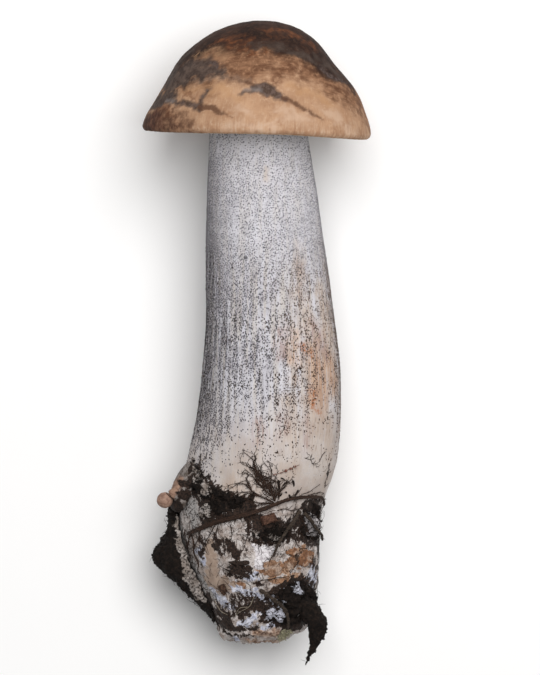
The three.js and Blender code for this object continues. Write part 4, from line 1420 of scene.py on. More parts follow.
def make_cap():
    masks = cap_masks()
    points, faces = closed_grid(carve_cap(masks))
    faces = [face[::-1] for face in faces]
    masks = {key: with_poles(values) for key, values in masks.items()}
    piece = make_piece("cap_skin", points, faces, cap_look(), ["cap"], masks)
    for name, values in (("grain", cap.grain), ("sweep", cap.sweep)):
        attribute = piece.data.attributes.new(name, "FLOAT_VECTOR", "POINT")
        attribute.data.foreach_set("vector", with_poles(values).astype(np.float32).ravel())


make_cap()

# ---- Pores --------------------------------------------------------------------------------------

# Section of the ring of tubes: radius and height.
PORE_BELLY = [(14.5, 4.4), (16.1, 1.8), (18.5, 0.2), (22.4, -0.4), (25.2, -0.2), (26.4, 0.7)]
PORE_TOP_REACH = (0.84, 0.75, 0.6, 0.4835)  # shares of the cap's radius
PORE_COLUMNS = 170
PORE_ROWS = 24
PORE_DEPTH = 1.1
PORE_STAGGER = 0.22  # in columns
CAP_GAP = 0.66  # between the cap's flesh and the top of the tubes


def pore_section():
    """The section's belly in even steps, then its top, as one closed line."""
    belly = smooth_line(PORE_BELLY, 8)
    length = run_along(belly)
    steps = np.linspace(0, length[-1], PORE_ROWS + 1)
    belly = np.stack([np.interp(steps, length, belly[:, k]) for k in (0, 1)], -1)
    top = [(CAP_RADIUS * reach, ceiling_at(reach) - CAP_GAP) for reach in PORE_TOP_REACH]
    return np.vstack([belly, top])


def pore_grid():
    """The ring of tubes as a grid, with its inner rows staggered and uneven."""
    plain = turned(pore_section(), PORE_COLUMNS)
    row = np.arange(len(plain))
    jitter = np.stack([noise(plain, 0.7, seed) for seed in (151, 152, 153)], -1)
    inner = window(row, 0, 2, PORE_ROWS - 2, PORE_ROWS)
    swing = np.radians(PORE_STAGGER * 360 / PORE_COLUMNS) * inner * (-1.0) ** row
    cos, sin = np.cos(swing)[:, None], np.sin(swing)[:, None]
    x, y, z = np.moveaxis(plain, -1, 0)
    plain = np.stack([x * cos + z * sin, y, z * cos - x * sin], -1)
    return cap_to_own(shape_cap(plain + jitter * (0.28, 0.1, 0.28) * inner[:, None, None]))


def pore_look():
    look = Look("pores", roughness=0.85, specular=0.2)
    stain = look.noise(5.0, 4.0, 0.6)
    fine = look.noise(0.8, 3.0)
    colour = look.layers(
        (stain, 0.36, 0.64, (206, 196, 178), (178, 160, 136)),
        ((156, 134, 112), (fine, 0.5, 0.66), 0.4),
        # Painted shade: the pit of each tube mouth gets darker the deeper it goes.
        ((104, 86, 68), "deep"),
    )
    return look.finish(colour, fine, strength=0.3, distance=0.1)


def make_pores():
    """The ring of tubes under the cap, with a pit for the mouth of every tube and painted shade in each
    pit.
    """
    grid = pore_grid()
    rows, columns = grid.shape[:2]
    points, deep, faces = [grid.reshape(-1, 3)], [np.zeros(rows * columns)], []
    count = rows * columns
    up = np.array([0, 1.0, 0])
    for i, j in np.ndindex(rows, columns):
        below, k = (i + 1) % rows, (j + 1) % columns
        ring = [i * columns + j, i * columns + k, below * columns + k, below * columns + j]
        if i >= PORE_ROWS:
            faces.append(ring)
            continue
        corners = grid[[i, i, below, below], [j, k, k, j]]
        middle = corners.mean(0)
        points.append(np.vstack([lerp(corners, middle, 0.34) + up * 0.06, middle + up * PORE_DEPTH]))
        # How much painted shade each point of the pit gets: a little on its rim, all of it at its bottom.
        deep.append([0.25] * 4 + [1.0])
        for a in range(4):
            b = (a + 1) % 4
            faces.append([ring[a], ring[b], count + b, count + a])
            faces.append([count + a, count + b, count + 4])
        count += 5
    points, masks = np.vstack(points), {"deep": np.concatenate(deep)}
    make_piece("pore_tubes", points, faces, pore_look(), ["pore_layer"], masks, smooth=False)


make_pores()

# ---- Rough solids, crumbs and threads -----------------------------------------------------------

HAIR_LENGTH, HAIR_RADIUS = 3.4, 0.06
HAIR_STEPS = 6
SKEW_WAY = (0.31, 0.53, 0.79)  # a direction that no thread starts along


def remeshed(node, voxel):
    """A CAD solid as an even mesh of small faces, in the part's own frame."""
    copy = put("remeshed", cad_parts[node].data.copy())
    modifier = copy.modifiers.new("voxels", "REMESH")
    modifier.mode = "VOXEL"
    modifier.voxel_size = voxel * MM
    mesh = bpy.data.meshes.new_from_object(copy.evaluated_get(bpy.context.evaluated_depsgraph_get()))
    points = to_own([v.co for v in mesh.vertices])
    faces = np.array([list(p.vertices) for p in mesh.polygons])
    bpy.data.objects.remove(copy)
    bpy.data.meshes.remove(mesh)
    return points, faces


def vertex_normals(points, faces):
    a, b, c, d = (points[faces[:, k]] for k in range(4))
    flat = np.cross(c - a, d - b)
    normals = np.zeros_like(points)
    for k in range(4):
        np.add.at(normals, faces[:, k], flat)
    return unit(normals)


def relaxed(points, faces, rounds):
    """Points drawn towards the middle of their neighbours."""
    for _ in range(rounds):
        total, count = np.zeros_like(points), np.zeros(len(points))
        for k in range(4):
            ends = faces[:, (k + 1) % 4]
            np.add.at(total, faces[:, k], points[ends])
            np.add.at(count, faces[:, k], 1)
        points = lerp(points, total / count[:, None], 0.6)
    return points


def make_crumb():
    """One angular crumb about two units across."""
    grid = turned([(math.sin(t), -math.cos(t)) for t in (0.55, 1.25, 1.95, 2.6)], 6)
    points, faces = closed_grid(grid)
    return points * (1 + 0.35 * noise(points, 0.9, 5))[:, None], faces


CRUMB, CRUMB_FACES = make_crumb()


def random_axes(count, sizes, rng, squash=0.55):
    """Random turns of small shapes, stretched unevenly."""
    a = unit(rng.normal(size=(count, 3)))
    b = unit(np.cross(a, rng.normal(size=(count, 3))))
    c = np.cross(a, b)
    stretch = sizes[:, None] * rng.uniform(squash, 1, (count, 3))
    return np.stack([a * stretch[:, :1], b * stretch[:, 1:2], c * stretch[:, 2:]], 1)


def tube(line, radii, sides=5):
    """Points and faces of a closed tube. The radii are spread along the line."""
    line = np.asarray(line, float)
    radii = spread(radii, len(line))
    tangents = unit(np.gradient(line, axis=0))
    side = unit(np.cross(tangents[0], SKEW_WAY))
    turn = np.arange(sides) * 2 * math.pi / sides
    rings = []
    for place, tangent, radius in zip(line, tangents, radii):
        side = unit(side - tangent * (side @ tangent))
        other = np.cross(tangent, side)
        rings.append(place + radius * (np.cos(turn)[:, None] * side + np.sin(turn)[:, None] * other))
    start = line[0] - tangents[0] * radii[0] * 0.6
    end = line[-1] + tangents[-1] * radii[-1]
    rows = len(line)
    return np.vstack([*rings, start, end]), ring_faces(rows, sides, rows * sides, rows * sides + 1)


def fibres(heap, points, normals, count, rng, **masks):
    """Short curved hairs that leave a surface at random points."""
    steps = np.linspace(0, 1, HAIR_STEPS)[:, None]
    for k in rng.choice(len(points), count):
        along = unit(np.cross(normals[k], rng.normal(size=3)))
        bend = unit(rng.normal(size=3))
        reach = HAIR_LENGTH * rng.uniform(0.4, 1.0)
        arch = 0.2 * normals[k] * np.sin(2.6 * steps)
        line = points[k] + reach * (along * steps + arch + bend * 0.35 * steps**2)
        heap.add(*tube(line, [HAIR_RADIUS, HAIR_RADIUS * 0.8, HAIR_RADIUS * 0.3], 3), **masks)


def sunk(points, sink, seed):
    """Soil on the stem worn down towards the flesh, so that it breaks up into islands."""
    tree = cad_tree("stem", "bud_stem")
    near = [tree.find_nearest(Vector(p)) for p in points]
    foot = np.array([n[0] for n in near])
    out = np.array([n[1] for n in near])
    gap = np.sum((points - foot) * out, axis=1)
    wear = sink * np.clip(0.9 + 1.5 * fractal(points, 2.6, seed, 4, 0.6), 0, 2.2)
    lowered = np.where(gap > 0, gap * 0.9 - wear * smoothstep(gap, 0, 0.6), gap)
    return points + out * (lowered - gap)[:, None]


# Where pale flesh and mould show through the soil: lines of (x, y, half width) seen from above.
SOIL_PALE = {
    "soil_groove": [
        [(-17.7, 48.8, 1.2), (-17.1, 45.7, 1.8), (-18.0, 43.8, 1.4)],
        [(-14.8, 43.0, 1.0), (-13.4, 40.4, 1.1)],
        [(-15.5, 37.0, 1.9), (-15.3, 35.4, 2.7), (-16.0, 33.2, 3.2), (-17.6, 30.2, 2.6)],
    ],
    "soil_left": [
        [(-20.4, 33, 1.0), (-20.1, 30, 1.4), (-19.4, 26.5, 1.6), (-18.6, 23, 1.6), (-18.0, 20, 1.6),
         (-17.2, 17, 1.6), (-16, 14, 1.4), (-14.2, 11.4, 0.9)],
    ],
    "soil_middle": [
        [(0.1, 30.3, 1.0), (0.2, 28.7, 0.9)],
        [(4.6, 29.1, 0.5), (5.6, 28.1, 0.6)],
        [(0.2, 27.2, 0.9), (2.4, 26.4, 1.2), (4.4, 26.4, 0.8)],
    ],
    "soil_right": [
        [(15.2, 33.5, 1.2), (15.6, 31.0, 1.3), (15.6, 29.1, 0.9)],
        [(12.2, 34.8, 0.8), (13.0, 33.9, 0.7)],
        [(9.8, 32.7, 0.8), (10.2, 31.1, 0.7)],
        [(10.9, 28.3, 0.9), (13.3, 26.5, 1.0)],
    ],
    "soil_foot": [
        [(0.4, 14.9, 1.5), (3.6, 11.9, 1.8), (6.0, 9.2, 1.9), (6.6, 6.6, 1.0)],
        [(6.0, 9.2, 1.3), (3.4, 7.6, 1.2)],
        [(15.0, 20.8, 1.1), (14.9, 18.0, 1.3), (14.8, 15.5, 0.8)],
        [(7.6, 11.4, 0.4), (8.1, 10.8, 0.4)],
        [(7.4, 16.0, 1.1), (5.0, 17.1, 1.0)],
        [(3.2, 14.8, 0.8), (5.6, 14.4, 0.8)],
        [(11.2, 16.8, 0.7), (12.0, 14.4, 0.6)],
    ],
}
# How much of that paint is bluish mould rather than flesh.
SOIL_COLD = {"soil_right": 0.3, "soil_foot": 1.0}


def crumbly(name, node, look, slot, voxel, rough, crumbs, hairs, seed, inward, relax, sink):
    """A CAD solid broken up by noise, with crumbs and fibres on it."""
    rng = np.random.default_rng(seed)
    points, faces = remeshed(node, voxel)
    points = relaxed(points, faces, relax)
    normals = vertex_normals(points, faces)
    pale = painted(from_above(points), SOIL_PALE.get(node, []), on_plane, 0.7, 1.1, 1.6)
    rub = rough * (fractal(points, 2.3, seed, 4, 0.62) - inward)
    rub += 0.25 * fractal(points, 0.8, seed + 3, 2, 0.6)
    heap = Heap()
    body = points + normals * rub[:, None]
    if sink:
        body = sunk(body, sink + 0.5 * pale, seed + 9)
    shade = np.clip(0.4 + 0.5 * fractal(points, 1.5, seed + 7, 3), 0, 1)
    heap.add(body, faces.tolist(), shade=shade, pale=pale, cold=SOIL_COLD.get(node, 0.0))
    chosen = rng.choice(len(body), crumbs)
    sizes = (rng.gamma(2.2, 0.06, crumbs) + 0.1) * (1 - 0.7 * pale[chosen])
    heap.scatter(CRUMB, CRUMB_FACES, body[chosen] + normals[chosen] * sizes[:, None] * 0.3,
                 random_axes(crumbs, sizes, rng), shade=rng.uniform(0, 1, crumbs), pale=0.4 * pale[chosen])
    fibres(heap, body, normals, hairs, rng, shade=0.8)
    heap_piece(name, heap, look, slot, node)


def soil_look(name, dark, light, fleck):
    look = Look(name, roughness=0.92, specular=0.18)
    lump = look.noise(0.9, 4.0, 0.7)
    grain = look.noise(0.25, 3.0, 0.7)
    mould = look.layers(
        (look.noise(3.0, 3.0), 0.4, 0.6, (170, 162, 157), (132, 122, 115)),
        ((194, 195, 206), "cold"),
        ((50, 43, 39), (look.noise(0.6, 4.0, 0.7), 0.49, 0.58)),
    )
    colour = look.layers(
        (lump, 0.42, 0.68, dark, light),
        (light, "shade", 0.3),
        (fleck, (grain, 0.62, 0.75), 0.6),
        (mould, look.torn("pale", 0.35, 0.62, (lump, 1.4))),
    )
    return look.finish(colour, look.total((lump, 0.8), (grain, 0.4)), strength=0.7, distance=0.2)


def make_soils():
    look = soil_look("soil", (12, 9, 8), (37, 28, 23), (92, 76, 65))
    for name, settings in SOILS.items():
        crumbly("peat_" + name, "soil_" + name, look, "soil", *settings)


make_soils()

# ---- Roots --------------------------------------------------------------------------------------


def crawl(start, heading, length, rng, wander=0.35, step=0.5):
    """A wandering line of [angle, height] places. The heading is in radians from upwards."""
    place = np.array(start, float)
    line = [place]
    for _ in range(max(int(length / step), 2)):
        heading += rng.normal(0, wander)
        place = place + (degrees_for(place[1], math.sin(heading) * step), math.cos(heading) * step)
        line.append(place)
    return np.array(line)


def headings(line):
    """The direction, in radians from upwards, along a line of places."""
    step = np.gradient(line, axis=0)
    return np.arctan2(step[:, 0] / degrees_for(line[:, 1], 1), step[:, 1])


def sprout(heap, line, radii, stands, rng, depth, twig=2.6, every=1.1, turn=0.8, **masks):
    """A root on the stem with side rootlets that branch again."""
    stands, widths = spread(stands, len(line)), spread(radii, len(line))
    bumpy = widths * (1 + 0.2 * rng.normal(size=len(line)))
    heap.add(*tube(skin.at(line, stands + widths), bumpy, 5 if radii[0] > 0.2 else 4), **masks)
    if depth == 0:
        return
    path = run_along(skin.at(line))
    way = headings(line)
    gone = every * rng.uniform(0.4, 1.0)
    while gone < path[-1]:
        k = int(np.argmin(np.abs(path - gone)))
        side = rng.choice((-1, 1))
        reach = twig * rng.uniform(0.35, 1.0) * (1 - 0.45 * gone / path[-1])
        child = crawl(line[k], way[k] + side * rng.uniform(0.5, 1.25) * turn, reach, rng, 0.22, 0.4)
        rise = stands[k] + rng.uniform(-0.1, 0.35)
        thin = max(widths[k] * rng.uniform(0.35, 0.6), 0.055)
        sprout(heap, child, [thin, 0.045], [stands[k], max(rise, 0.02)], rng, depth - 1,
               twig * 0.5, every * 1.1, turn, **masks)
        gone += every * rng.uniform(0.6, 1.6)


TRUNK = [(-57, 30.4), (-43, 32.0), (-29, 33.9), (-8, 36.0), (8, 37.9), (18, 39.5), (27, 40.5), (37, 40.8),
         (50, 40.6), (64, 39.7), (75, 37.4)]
FOOT_HAIR_COUNT = 560
ROOTLETS = [
    [(-26, 33), (-28, 30.6), (-25, 28.3), (-20, 26.7)],
    [(-15, 33.6), (-14, 31.5), (-15, 29.4)],
    [(-1, 35.2), (0, 32.9), (-2, 30.3), (-5, 27.6), (-9, 25.6)],
    [(-44, 31.4), (-48, 28.8), (-53, 27.3), (-64, 25.8)],
    [(-53, 27.3), (-44, 26.4), (-40, 25.7)],
    [(-29, 33), (-36, 29.8), (-41, 28.3)],
    [(1, 29.3), (11, 28.9), (17, 28.5), (24, 29)],
    [(38, 36.4), (46, 34.2), (52, 31.4), (62, 28.4), (72, 26.7)],
    [(33, 31.2), (39, 29.1), (43, 27), (53, 26.4)],
    [(78, 32), (70, 29.5), (77, 26.5), (74, 23.3)],
    [(21, 37.3), (26, 37.7), (35, 37.1), (44, 37.6)],
    [(31, 31.6), (44, 31), (48, 28.8)],
    [(-2, 17.8), (6, 18.8), (14, 19.1), (22, 19.4), (32, 19)],
    [(13, 22.4), (16, 24.8), (21, 26)],
    [(24, 17.4), (25, 15.2), (19, 13.8)],
    [(46, 24.4), (39, 22.3), (34, 20.2)],
    [(60, 48.6), (63, 46), (63, 44.2), (67, 42.4)],
    [(32, 51), (38, 50.3), (40, 49.3), (46, 49.6), (49, 51.2)],
    [(38, 50.3), (36, 51.8)],
    [(43, 49.4), (45, 48.2)],
    [(-60, 43.6), (-52, 42.4), (-44, 42.8)],
    [(-66, 31), (-68, 27), (-66, 22)],
    [(58, 24), (66, 21), (70, 18)],
]
TRUNK_FORKS = [
    [(-55, 30.8), (-53, 27.6), (-55, 24.8), (-54, 22.2), (-58, 20)],
    [(-54, 31), (-58, 29), (-62, 27.4), (-66, 27)],
]
FAN_TRUNKS = [
    [(16, 40.1), (11, 42.6), (3, 44.8), (-2, 46.9), (-7, 48.6), (-11, 49.8)],
    [(16, 40.3), (9, 43.4), (1, 46.2), (-4, 48.4), (-8, 50.8), (-16, 52.8)],
    [(15, 40.6), (12, 42.6), (9, 44.8), (7, 48.1), (4, 50.4)],
]
FAN = [
    [(3, 44.8), (-2, 46.2), (-2, 48.1), (-6, 50.7), (-8, 52.7)],
    [(10, 42.8), (6, 45.8), (0, 47.4), (-1, 49.8)],
    [(12, 41.5), (2, 44.2), (-6, 46.8), (-12, 48.1), (-14, 46.7)],
    [(5, 43.6), (-1, 45.2), (-5, 47.5), (-8, 48.4), (-6, 49.4)],
    [(15, 39.8), (2, 41.5), (-8, 42.3), (-14, 42), (-19, 41.6)],
    [(6, 41), (-2, 42.5), (-10, 44.5), (-15, 44.4), (-19, 43.4), (-25, 43.1)],
    [(16, 39.5), (4, 39.6), (-6, 40.4), (-17, 41)],
    [(19, 40.4), (18, 42.8), (20, 44.4), (26, 45.6)],
    [(-4, 43.2), (-9, 45.4), (-9, 47), (-13, 47.6)],
]
# Bits of black leaf or bark caught between the rootlets.
FAN_FLAKES = [
    ([(14.4, 45.4), (15.6, 44.4), (17.6, 42.8)], 0.40),
    ([(15.8, 46), (19.4, 45.5)], 0.22),
    ([(19, 43.7), (21, 44.6), (24, 44.8)], 0.24),
    ([(26, 45.2), (27.4, 44.6), (29, 43.6)], 0.34),
    ([(23.4, 42.2), (24.8, 41.9)], 0.26),
    ([(21, 41.8), (20, 41.1)], 0.26),
    ([(34, 42.5), (33, 41)], 0.32),
    ([(27, 41.4), (29, 40.7)], 0.30),
    ([(15.8, 48.1), (16.3, 47.9)], 0.16),
]
TOP_HAIRS = [
    [(38, 41.6), (44, 41.9), (49, 42.7), (56, 43.6)],
    [(28, 41), (34, 42), (36, 43.2)],
    [(44, 41.2), (56, 41.4), (68, 40.6), (76, 37.6)],
    [(52, 41), (60, 40), (66, 37.6), (64, 35.4)],
]


def root_look(name, dark, light, gloss=0.8):
    look = Look(name, roughness=gloss, specular=0.25)
    bark = look.noise(0.35, 4.0, 0.7)
    band = look.noise(1.6, 3.0)
    colour = look.layers((bark, 0.4, 0.66, dark, light), (light, (band, 0.5, 0.7), 0.4))
    return look.finish(colour, bark, strength=0.6, distance=0.12)


def braided(heap, line, radius, strands, stand, rng, **masks):
    """Several strands that wind loosely round one line."""
    line = smooth_line(line, 7)
    count = len(line)
    taper = np.interp(np.linspace(0, 1, count), (0, 0.12, 0.7, 1), (0.75, 1.0, 0.85, 0.45))
    for s in range(strands):
        turn = s * 2 * math.pi / strands + np.linspace(0, 6, count) + 0.12 * rng.normal(size=count).cumsum()
        offset = radius * 0.5 * taper
        side = line.copy()
        side[:, 1] += offset * np.cos(turn)
        stands = stand + radius * 0.9 + offset * np.sin(turn)
        widths = radius * 0.62 * taper * (1 + 0.12 * rng.normal(size=count))
        heap.add(*tube(skin.at(side, stands), widths, 7), **masks)


def strayed(line, rng, amount):
    """A line whose points, after the first, are moved at random."""
    line = np.array(line, float)
    line[1:] += rng.normal(0, 1, (len(line) - 1, 2)) * amount
    return line


def root_trunk():
    rng = np.random.default_rng(61)
    heap = Heap()
    braided(heap, TRUNK, radius=0.64, strands=3, stand=0.3, rng=rng, shade=0.4)
    sprout(heap, smooth_line(TRUNK, 5), [0.14, 0.1], [0.6, 0.6], rng, depth=2,
           twig=2.2, every=0.7, turn=1.1, shade=0.5)
    for fork in TRUNK_FORKS:
        braided(heap, fork, radius=0.28, strands=2, stand=0.2, rng=rng, shade=0.5)
        sprout(heap, smooth_line(fork, 5), [0.12, 0.06], [0.4, 0.4], rng, depth=1,
               twig=1.8, every=0.8, turn=1.1, shade=0.5)
    for line in TOP_HAIRS:
        sprout(heap, smooth_line(line), [0.12, 0.05], [0.6, 0.15], rng, depth=1,
               twig=1.0, every=1.4, shade=0.4)
    return heap


def root_fan():
    rng = np.random.default_rng(62)
    heap = Heap()

    def root(line, radii, stands, depth, twig, every):
        sprout(heap, smooth_line(line), radii, stands, rng, depth, twig, every, shade=0.5)

    for line in FAN_TRUNKS:
        root(line, [0.28, 0.18, 0.05], [0.6, 0.5, 0.15], depth=2, twig=1.9, every=0.85)
        for beside in (line, line, line[:4]):
            beside = strayed(beside, rng, (4.2, 0.8))
            root(beside, [0.11, 0.08, 0.04], [0.7, 0.5, 0.12], depth=1, twig=1.8, every=1.1)
    for line in FAN:
        root(line, [0.2, 0.12, 0.05], [0.5, 0.4, 0.1], depth=2, twig=1.6, every=0.9)
        beside = strayed(line, rng, (1.6, 0.5))
        root(beside, [0.09, 0.06, 0.04], [0.5, 0.3, 0.1], depth=1, twig=1.4, every=0.9)
    return heap


def fan_flakes():
    heap = Heap()
    for line, thick in FAN_FLAKES:
        path = smooth_line(line, 3)
        heap.add(*tube(skin.at(path, 0.12), thick * np.sin(np.linspace(0.7, 2.6, len(path))), 5), shade=0.0)
    return heap


def foot_rootlets():
    """Finer rootlets over the foot, on the skin and out of the dirt."""
    rng = np.random.default_rng(67)
    heap = Heap()
    for line in ROOTLETS:
        thick = 0.15 if line[0][1] < 42 else 0.08
        radii = [thick, 0.7 * thick, 0.05]
        stands = [0.08, 0.25, 0.06]
        sprout(heap, smooth_line(line), radii, stands, rng, depth=2, twig=1.8, every=0.9, shade=0.5)
    for _ in range(FOOT_HAIR_COUNT):
        angle = rng.uniform(-180, 180) if rng.uniform() < 0.45 else rng.uniform(-78, 84)
        place = (angle, rng.uniform(4, 38))
        line = crawl(place, rng.uniform(-math.pi, math.pi), rng.uniform(1.2, 4.5), rng, 0.3)
        line[:, 1] = np.clip(line[:, 1], 2.5, 40)
        stands = 0.03 + 0.3 * np.sin(np.linspace(0.2, 3.0, len(line))) * rng.uniform(0, 1)
        heap.add(*tube(skin.at(line, stands), [0.06, 0.055, 0.035], 3), shade=rng.uniform(0, 1))
    return heap


def make_roots():
    look = root_look("root_bark", (29, 19, 14), (64, 44, 33))
    heap_piece("root_trunk", root_trunk(), look, "root", "main_root")
    heap_piece("root_fan_hairs", root_fan(), look, "root", "root_fan")
    heap_piece("fan_flakes", fan_flakes(), root_look("black_flake", (20, 15, 13), (44, 33, 27)), "bark")
    heap_piece("foot_rootlets", foot_rootlets(), look, "root")


make_roots()

# Each stick: its line, its radii and how far it stands off the stem.
STICKS = {
    "stick_long": ([(37, 37.4), (33, 35), (27, 32), (21, 29), (17, 25.6)], [0.5, 0.42, 0.3], 1.9),
    "stick_short": ([(42, 36.8), (51, 33.8), (60, 31), (71, 28.2)], [0.5, 0.45, 0.3], 1.9),
    "foot_strap": (
        [(4, 16.9), (12, 14.9), (19, 13), (25, 10.8), (28, 8.2), (29, 5.6)], [0.5, 0.5, 0.4], 1.6,
    ),
}


def make_sticks():
    rng = np.random.default_rng(63)
    look = root_look("stick_bark", (28, 22, 18), (78, 66, 56), 0.85)
    for name, (line, radii, stand) in STICKS.items():
        heap = Heap()
        path = smooth_line(line, 7)
        rough = spread(radii, len(path)) * (1 + 0.14 * rng.normal(size=len(path)))
        rise = stand * np.interp(np.linspace(0, 1, len(path)), (0, 0.2, 0.8, 1), (0.8, 1, 1, 0.6))
        heap.add(*tube(skin.at(path, rise + rough), rough, 9), shade=0.4)
        stands = [stand, stand * 0.6]
        sprout(heap, path, [0.1, 0.06], stands, rng, depth=1, twig=1.6, every=1.2, shade=0.6)
        heap_piece(name + "_bark", heap, look, "bark", name)


make_sticks()

# The pale rootlets, and the reddish one with its nodules: a place and a size.
PALE_LINES = [
    [(-3, 14.6), (-10, 11.7), (-22, 10), (-32, 8.2)],
    [(-12, 11.6), (-20, 11.2), (-27, 9.4)],
    [(-48, 12.6), (-46, 10.2), (-38, 9.0)],
]
BERRY_LINE = [(9, 46.9), (14, 47.4), (18, 47.9), (23, 48.7), (28, 49.3)]
BERRIES = [((18, 47.9), 0.42), ((21.4, 48.4), 0.38), ((14.5, 47.4), 0.16), ((25, 49), 0.24)]


def make_pale_root():
    rng = np.random.default_rng(64)
    heap = Heap()
    for line in PALE_LINES:
        sprout(heap, smooth_line(line, 7), [0.10, 0.06], [0.7, 0.5], rng, depth=0)
    look = root_look("pale_root", (122, 112, 98), (158, 147, 128), 0.7)
    heap_piece("pale_fibres", heap, look, "pale_root", "pale_root")


def make_berry_root():
    rng = np.random.default_rng(65)
    heap = Heap()
    sprout(heap, smooth_line(BERRY_LINE), [0.1, 0.06], [0.35, 0.3], rng, depth=1, twig=0.9, every=2.2)
    for place, size in BERRIES:
        axes = random_axes(1, np.array([size]), rng, 0.8)
        heap.scatter(CRUMB, CRUMB_FACES, skin.at(np.array([place]), 0.5), axes)
    look = root_look("berry_root", (92, 52, 44), (142, 100, 88), 0.7)
    heap_piece("berry_rootlet", heap, look, "root", "berry_root")


make_pale_root()
make_berry_root()

# ---- Litter -------------------------------------------------------------------------------------

PLACE_SCALE = (0.32, 1)  # millimetres on the stem for one degree and for one unit of height
FLAKE_STEPS, FLAKE_RINGS = 60, 10


def flake(heap, corners, stand, thickness, curl, seed, jag):
    """A thin curled bit of leaf or bark that lies on the stem, outlined in [angle, height]."""
    outline = np.array([*corners, corners[0]], float)
    run = run_along(outline * PLACE_SCALE)
    t = np.arange(FLAKE_STEPS) / FLAKE_STEPS * run[-1]
    edge = np.stack([np.interp(t, run, outline[:, k]) for k in (0, 1)], -1)
    middle = edge.mean(0)
    reach = np.maximum(np.linalg.norm((edge - middle) * PLACE_SCALE, axis=1), 0.5)
    shares = np.linspace(0.04, 1, FLAKE_RINGS)
    rings = []
    for k, share in enumerate([*shares, *shares[::-1]]):
        places = middle + (edge - middle) * share
        rim = skin.at(places)
        jagged = jag * share**3 * fractal(rim, 1.3, seed, 3, 0.6)
        places = places + (edge - middle) * (jagged / reach)[:, None]
        level = stand + curl * share**2 * (0.5 + noise(rim, 2.6, seed + 3))
        if k < FLAKE_RINGS:
            level = level + thickness * (1 - share**6) + 0.04 + 0.06 * fractal(rim, 0.7, seed + 5, 2)
        rings.append(skin.at(places, level))
    heap.add(*closed_grid(np.array(rings)))


def leaf_look(name, light, dark):
    look = Look(name, roughness=0.75, specular=0.22)
    vein = look.cells(1.3, feature="DISTANCE_TO_EDGE")
    blotch = look.noise(1.6, 4.0, 0.65)
    fine = look.noise(0.35, 3.0)
    colour = look.layers(
        (blotch, 0.36, 0.62, light, dark),
        ((172, 150, 134), (look.noise(2.4, 3.0), 0.5, 0.62), 0.9),
        ((70, 48, 36), (vein, 0.07, 0.02), 0.6),
        ((48, 32, 25), (fine, 0.56, 0.68), 0.7),
    )
    return look.finish(colour, look.math("ADD", vein, fine), strength=0.6, distance=0.15)


# Sheets of dead leaf: outline, stand off the stem, curl and seed.
LEAVES = {
    "leaf_chip_wide": [
        ([(9, 23.7), (17, 24), (25, 23.4), (24, 20.4), (16, 19.6), (10, 20.6)], 0.12, 0.2, 140),
    ],
    "leaf_chip_small": [([(28, 23), (37, 24), (38, 21.2), (30, 20.8)], 0.15, 0.25, 150)],
    "leaf_chip_right": [
        ([(42, 25), (48, 26), (60, 25.6), (61, 22.6), (52, 21.6), (43, 22)], 0.15, 0.3, 160),
        ([(29, 26.2), (38, 27.2), (44, 25.8), (36, 24.8)], 0.12, 0.2, 161),
    ],
}
# Crumbs of rotten wood, with the same settings as the pieces of soil.
BROWN_CRUMB = (0.16, 0.22, 12, 8, 173, 0.1, 1, 0.0)
RED_CRUMB = (0.18, 0.25, 14, 10, 174, 0.1, 1, 0.0)
# A torn flake of dark bark: strips that cross each other.
BARK_STRIPS = [
    [(-26, 22), (-18, 21.8), (-9, 21.4), (-2, 20.2), (-4, 19.4), (-12, 20.4), (-20, 20.8)],
    [(-19, 23.8), (-12, 24.2), (-2, 24.2), (-4, 23.3), (-14, 23.2)],
    [(-19, 23.2), (-12, 22.6), (-6, 21.6), (-8, 20.8), (-15, 21.6)],
    [(-12, 23.6), (-9, 22.4), (-7, 20.6), (-10, 21), (-13, 22.4)],
]


def make_litter():
    tan = leaf_look("tan_leaf", (158, 124, 99), (118, 88, 68))
    rusty = leaf_look("rusty_leaf", (154, 112, 82), (112, 76, 53))
    for node, sheets in LEAVES.items():
        heap = Heap()
        for corners, stand, curl, seed in sheets:
            flake(heap, corners, stand, thickness=0.16, curl=curl, seed=seed, jag=0.5)
        heap_piece(node + "_sheet", heap, rusty if "right" in node else tan, "dead_leaf", node)
    bark = root_look("bark_flake", (22, 17, 14), (60, 45, 37), 0.85)
    heap = Heap()
    for k, corners in enumerate(BARK_STRIPS):
        flake(heap, corners, stand=0.3, thickness=0.5, curl=0.5, seed=171 + 6 * k, jag=0.7)
    heap_piece("bark_flake", heap, bark, "bark", "bark_chip")
    brown = soil_look("brown_wood", (44, 31, 25), (92, 70, 57), (92, 76, 65))
    crumbly("brown_wood_crumb", "brown_crumb", brown, "bark", *BROWN_CRUMB)
    red = soil_look("red_wood", (60, 40, 33), (104, 76, 62), (132, 106, 92))
    crumbly("red_wood_crumb", "red_crumb", red, "dead_leaf", *RED_CRUMB)


make_litter()

MOSS_LEAVES = 150


def make_moss():
    """A tuft of tiny pointed leaves."""
    rng = np.random.default_rng(66)
    heap = Heap()
    steps = np.linspace(0, 1, 4)[:, None]
    for _ in range(MOSS_LEAVES):
        place = np.array([rng.uniform(24, 38), rng.uniform(2.4, 4.6)])
        root = skin.at(place, 0.1)
        out = unit(skin.normal_at(place) + 0.8 * rng.normal(size=3))
        bend = 0.4 * rng.normal(size=3)
        length = rng.uniform(0.5, 1.5)
        heap.add(*tube(root + length * (out * steps + bend * steps**2), [0.1, 0.12, 0.03], 3))
    look = root_look("moss", (136, 131, 108), (182, 177, 150), 0.85)
    heap_piece("moss_leaves", heap, look, "moss", "moss_tuft")


make_moss()

# ---- The stunted second bolete ------------------------------------------------------------------

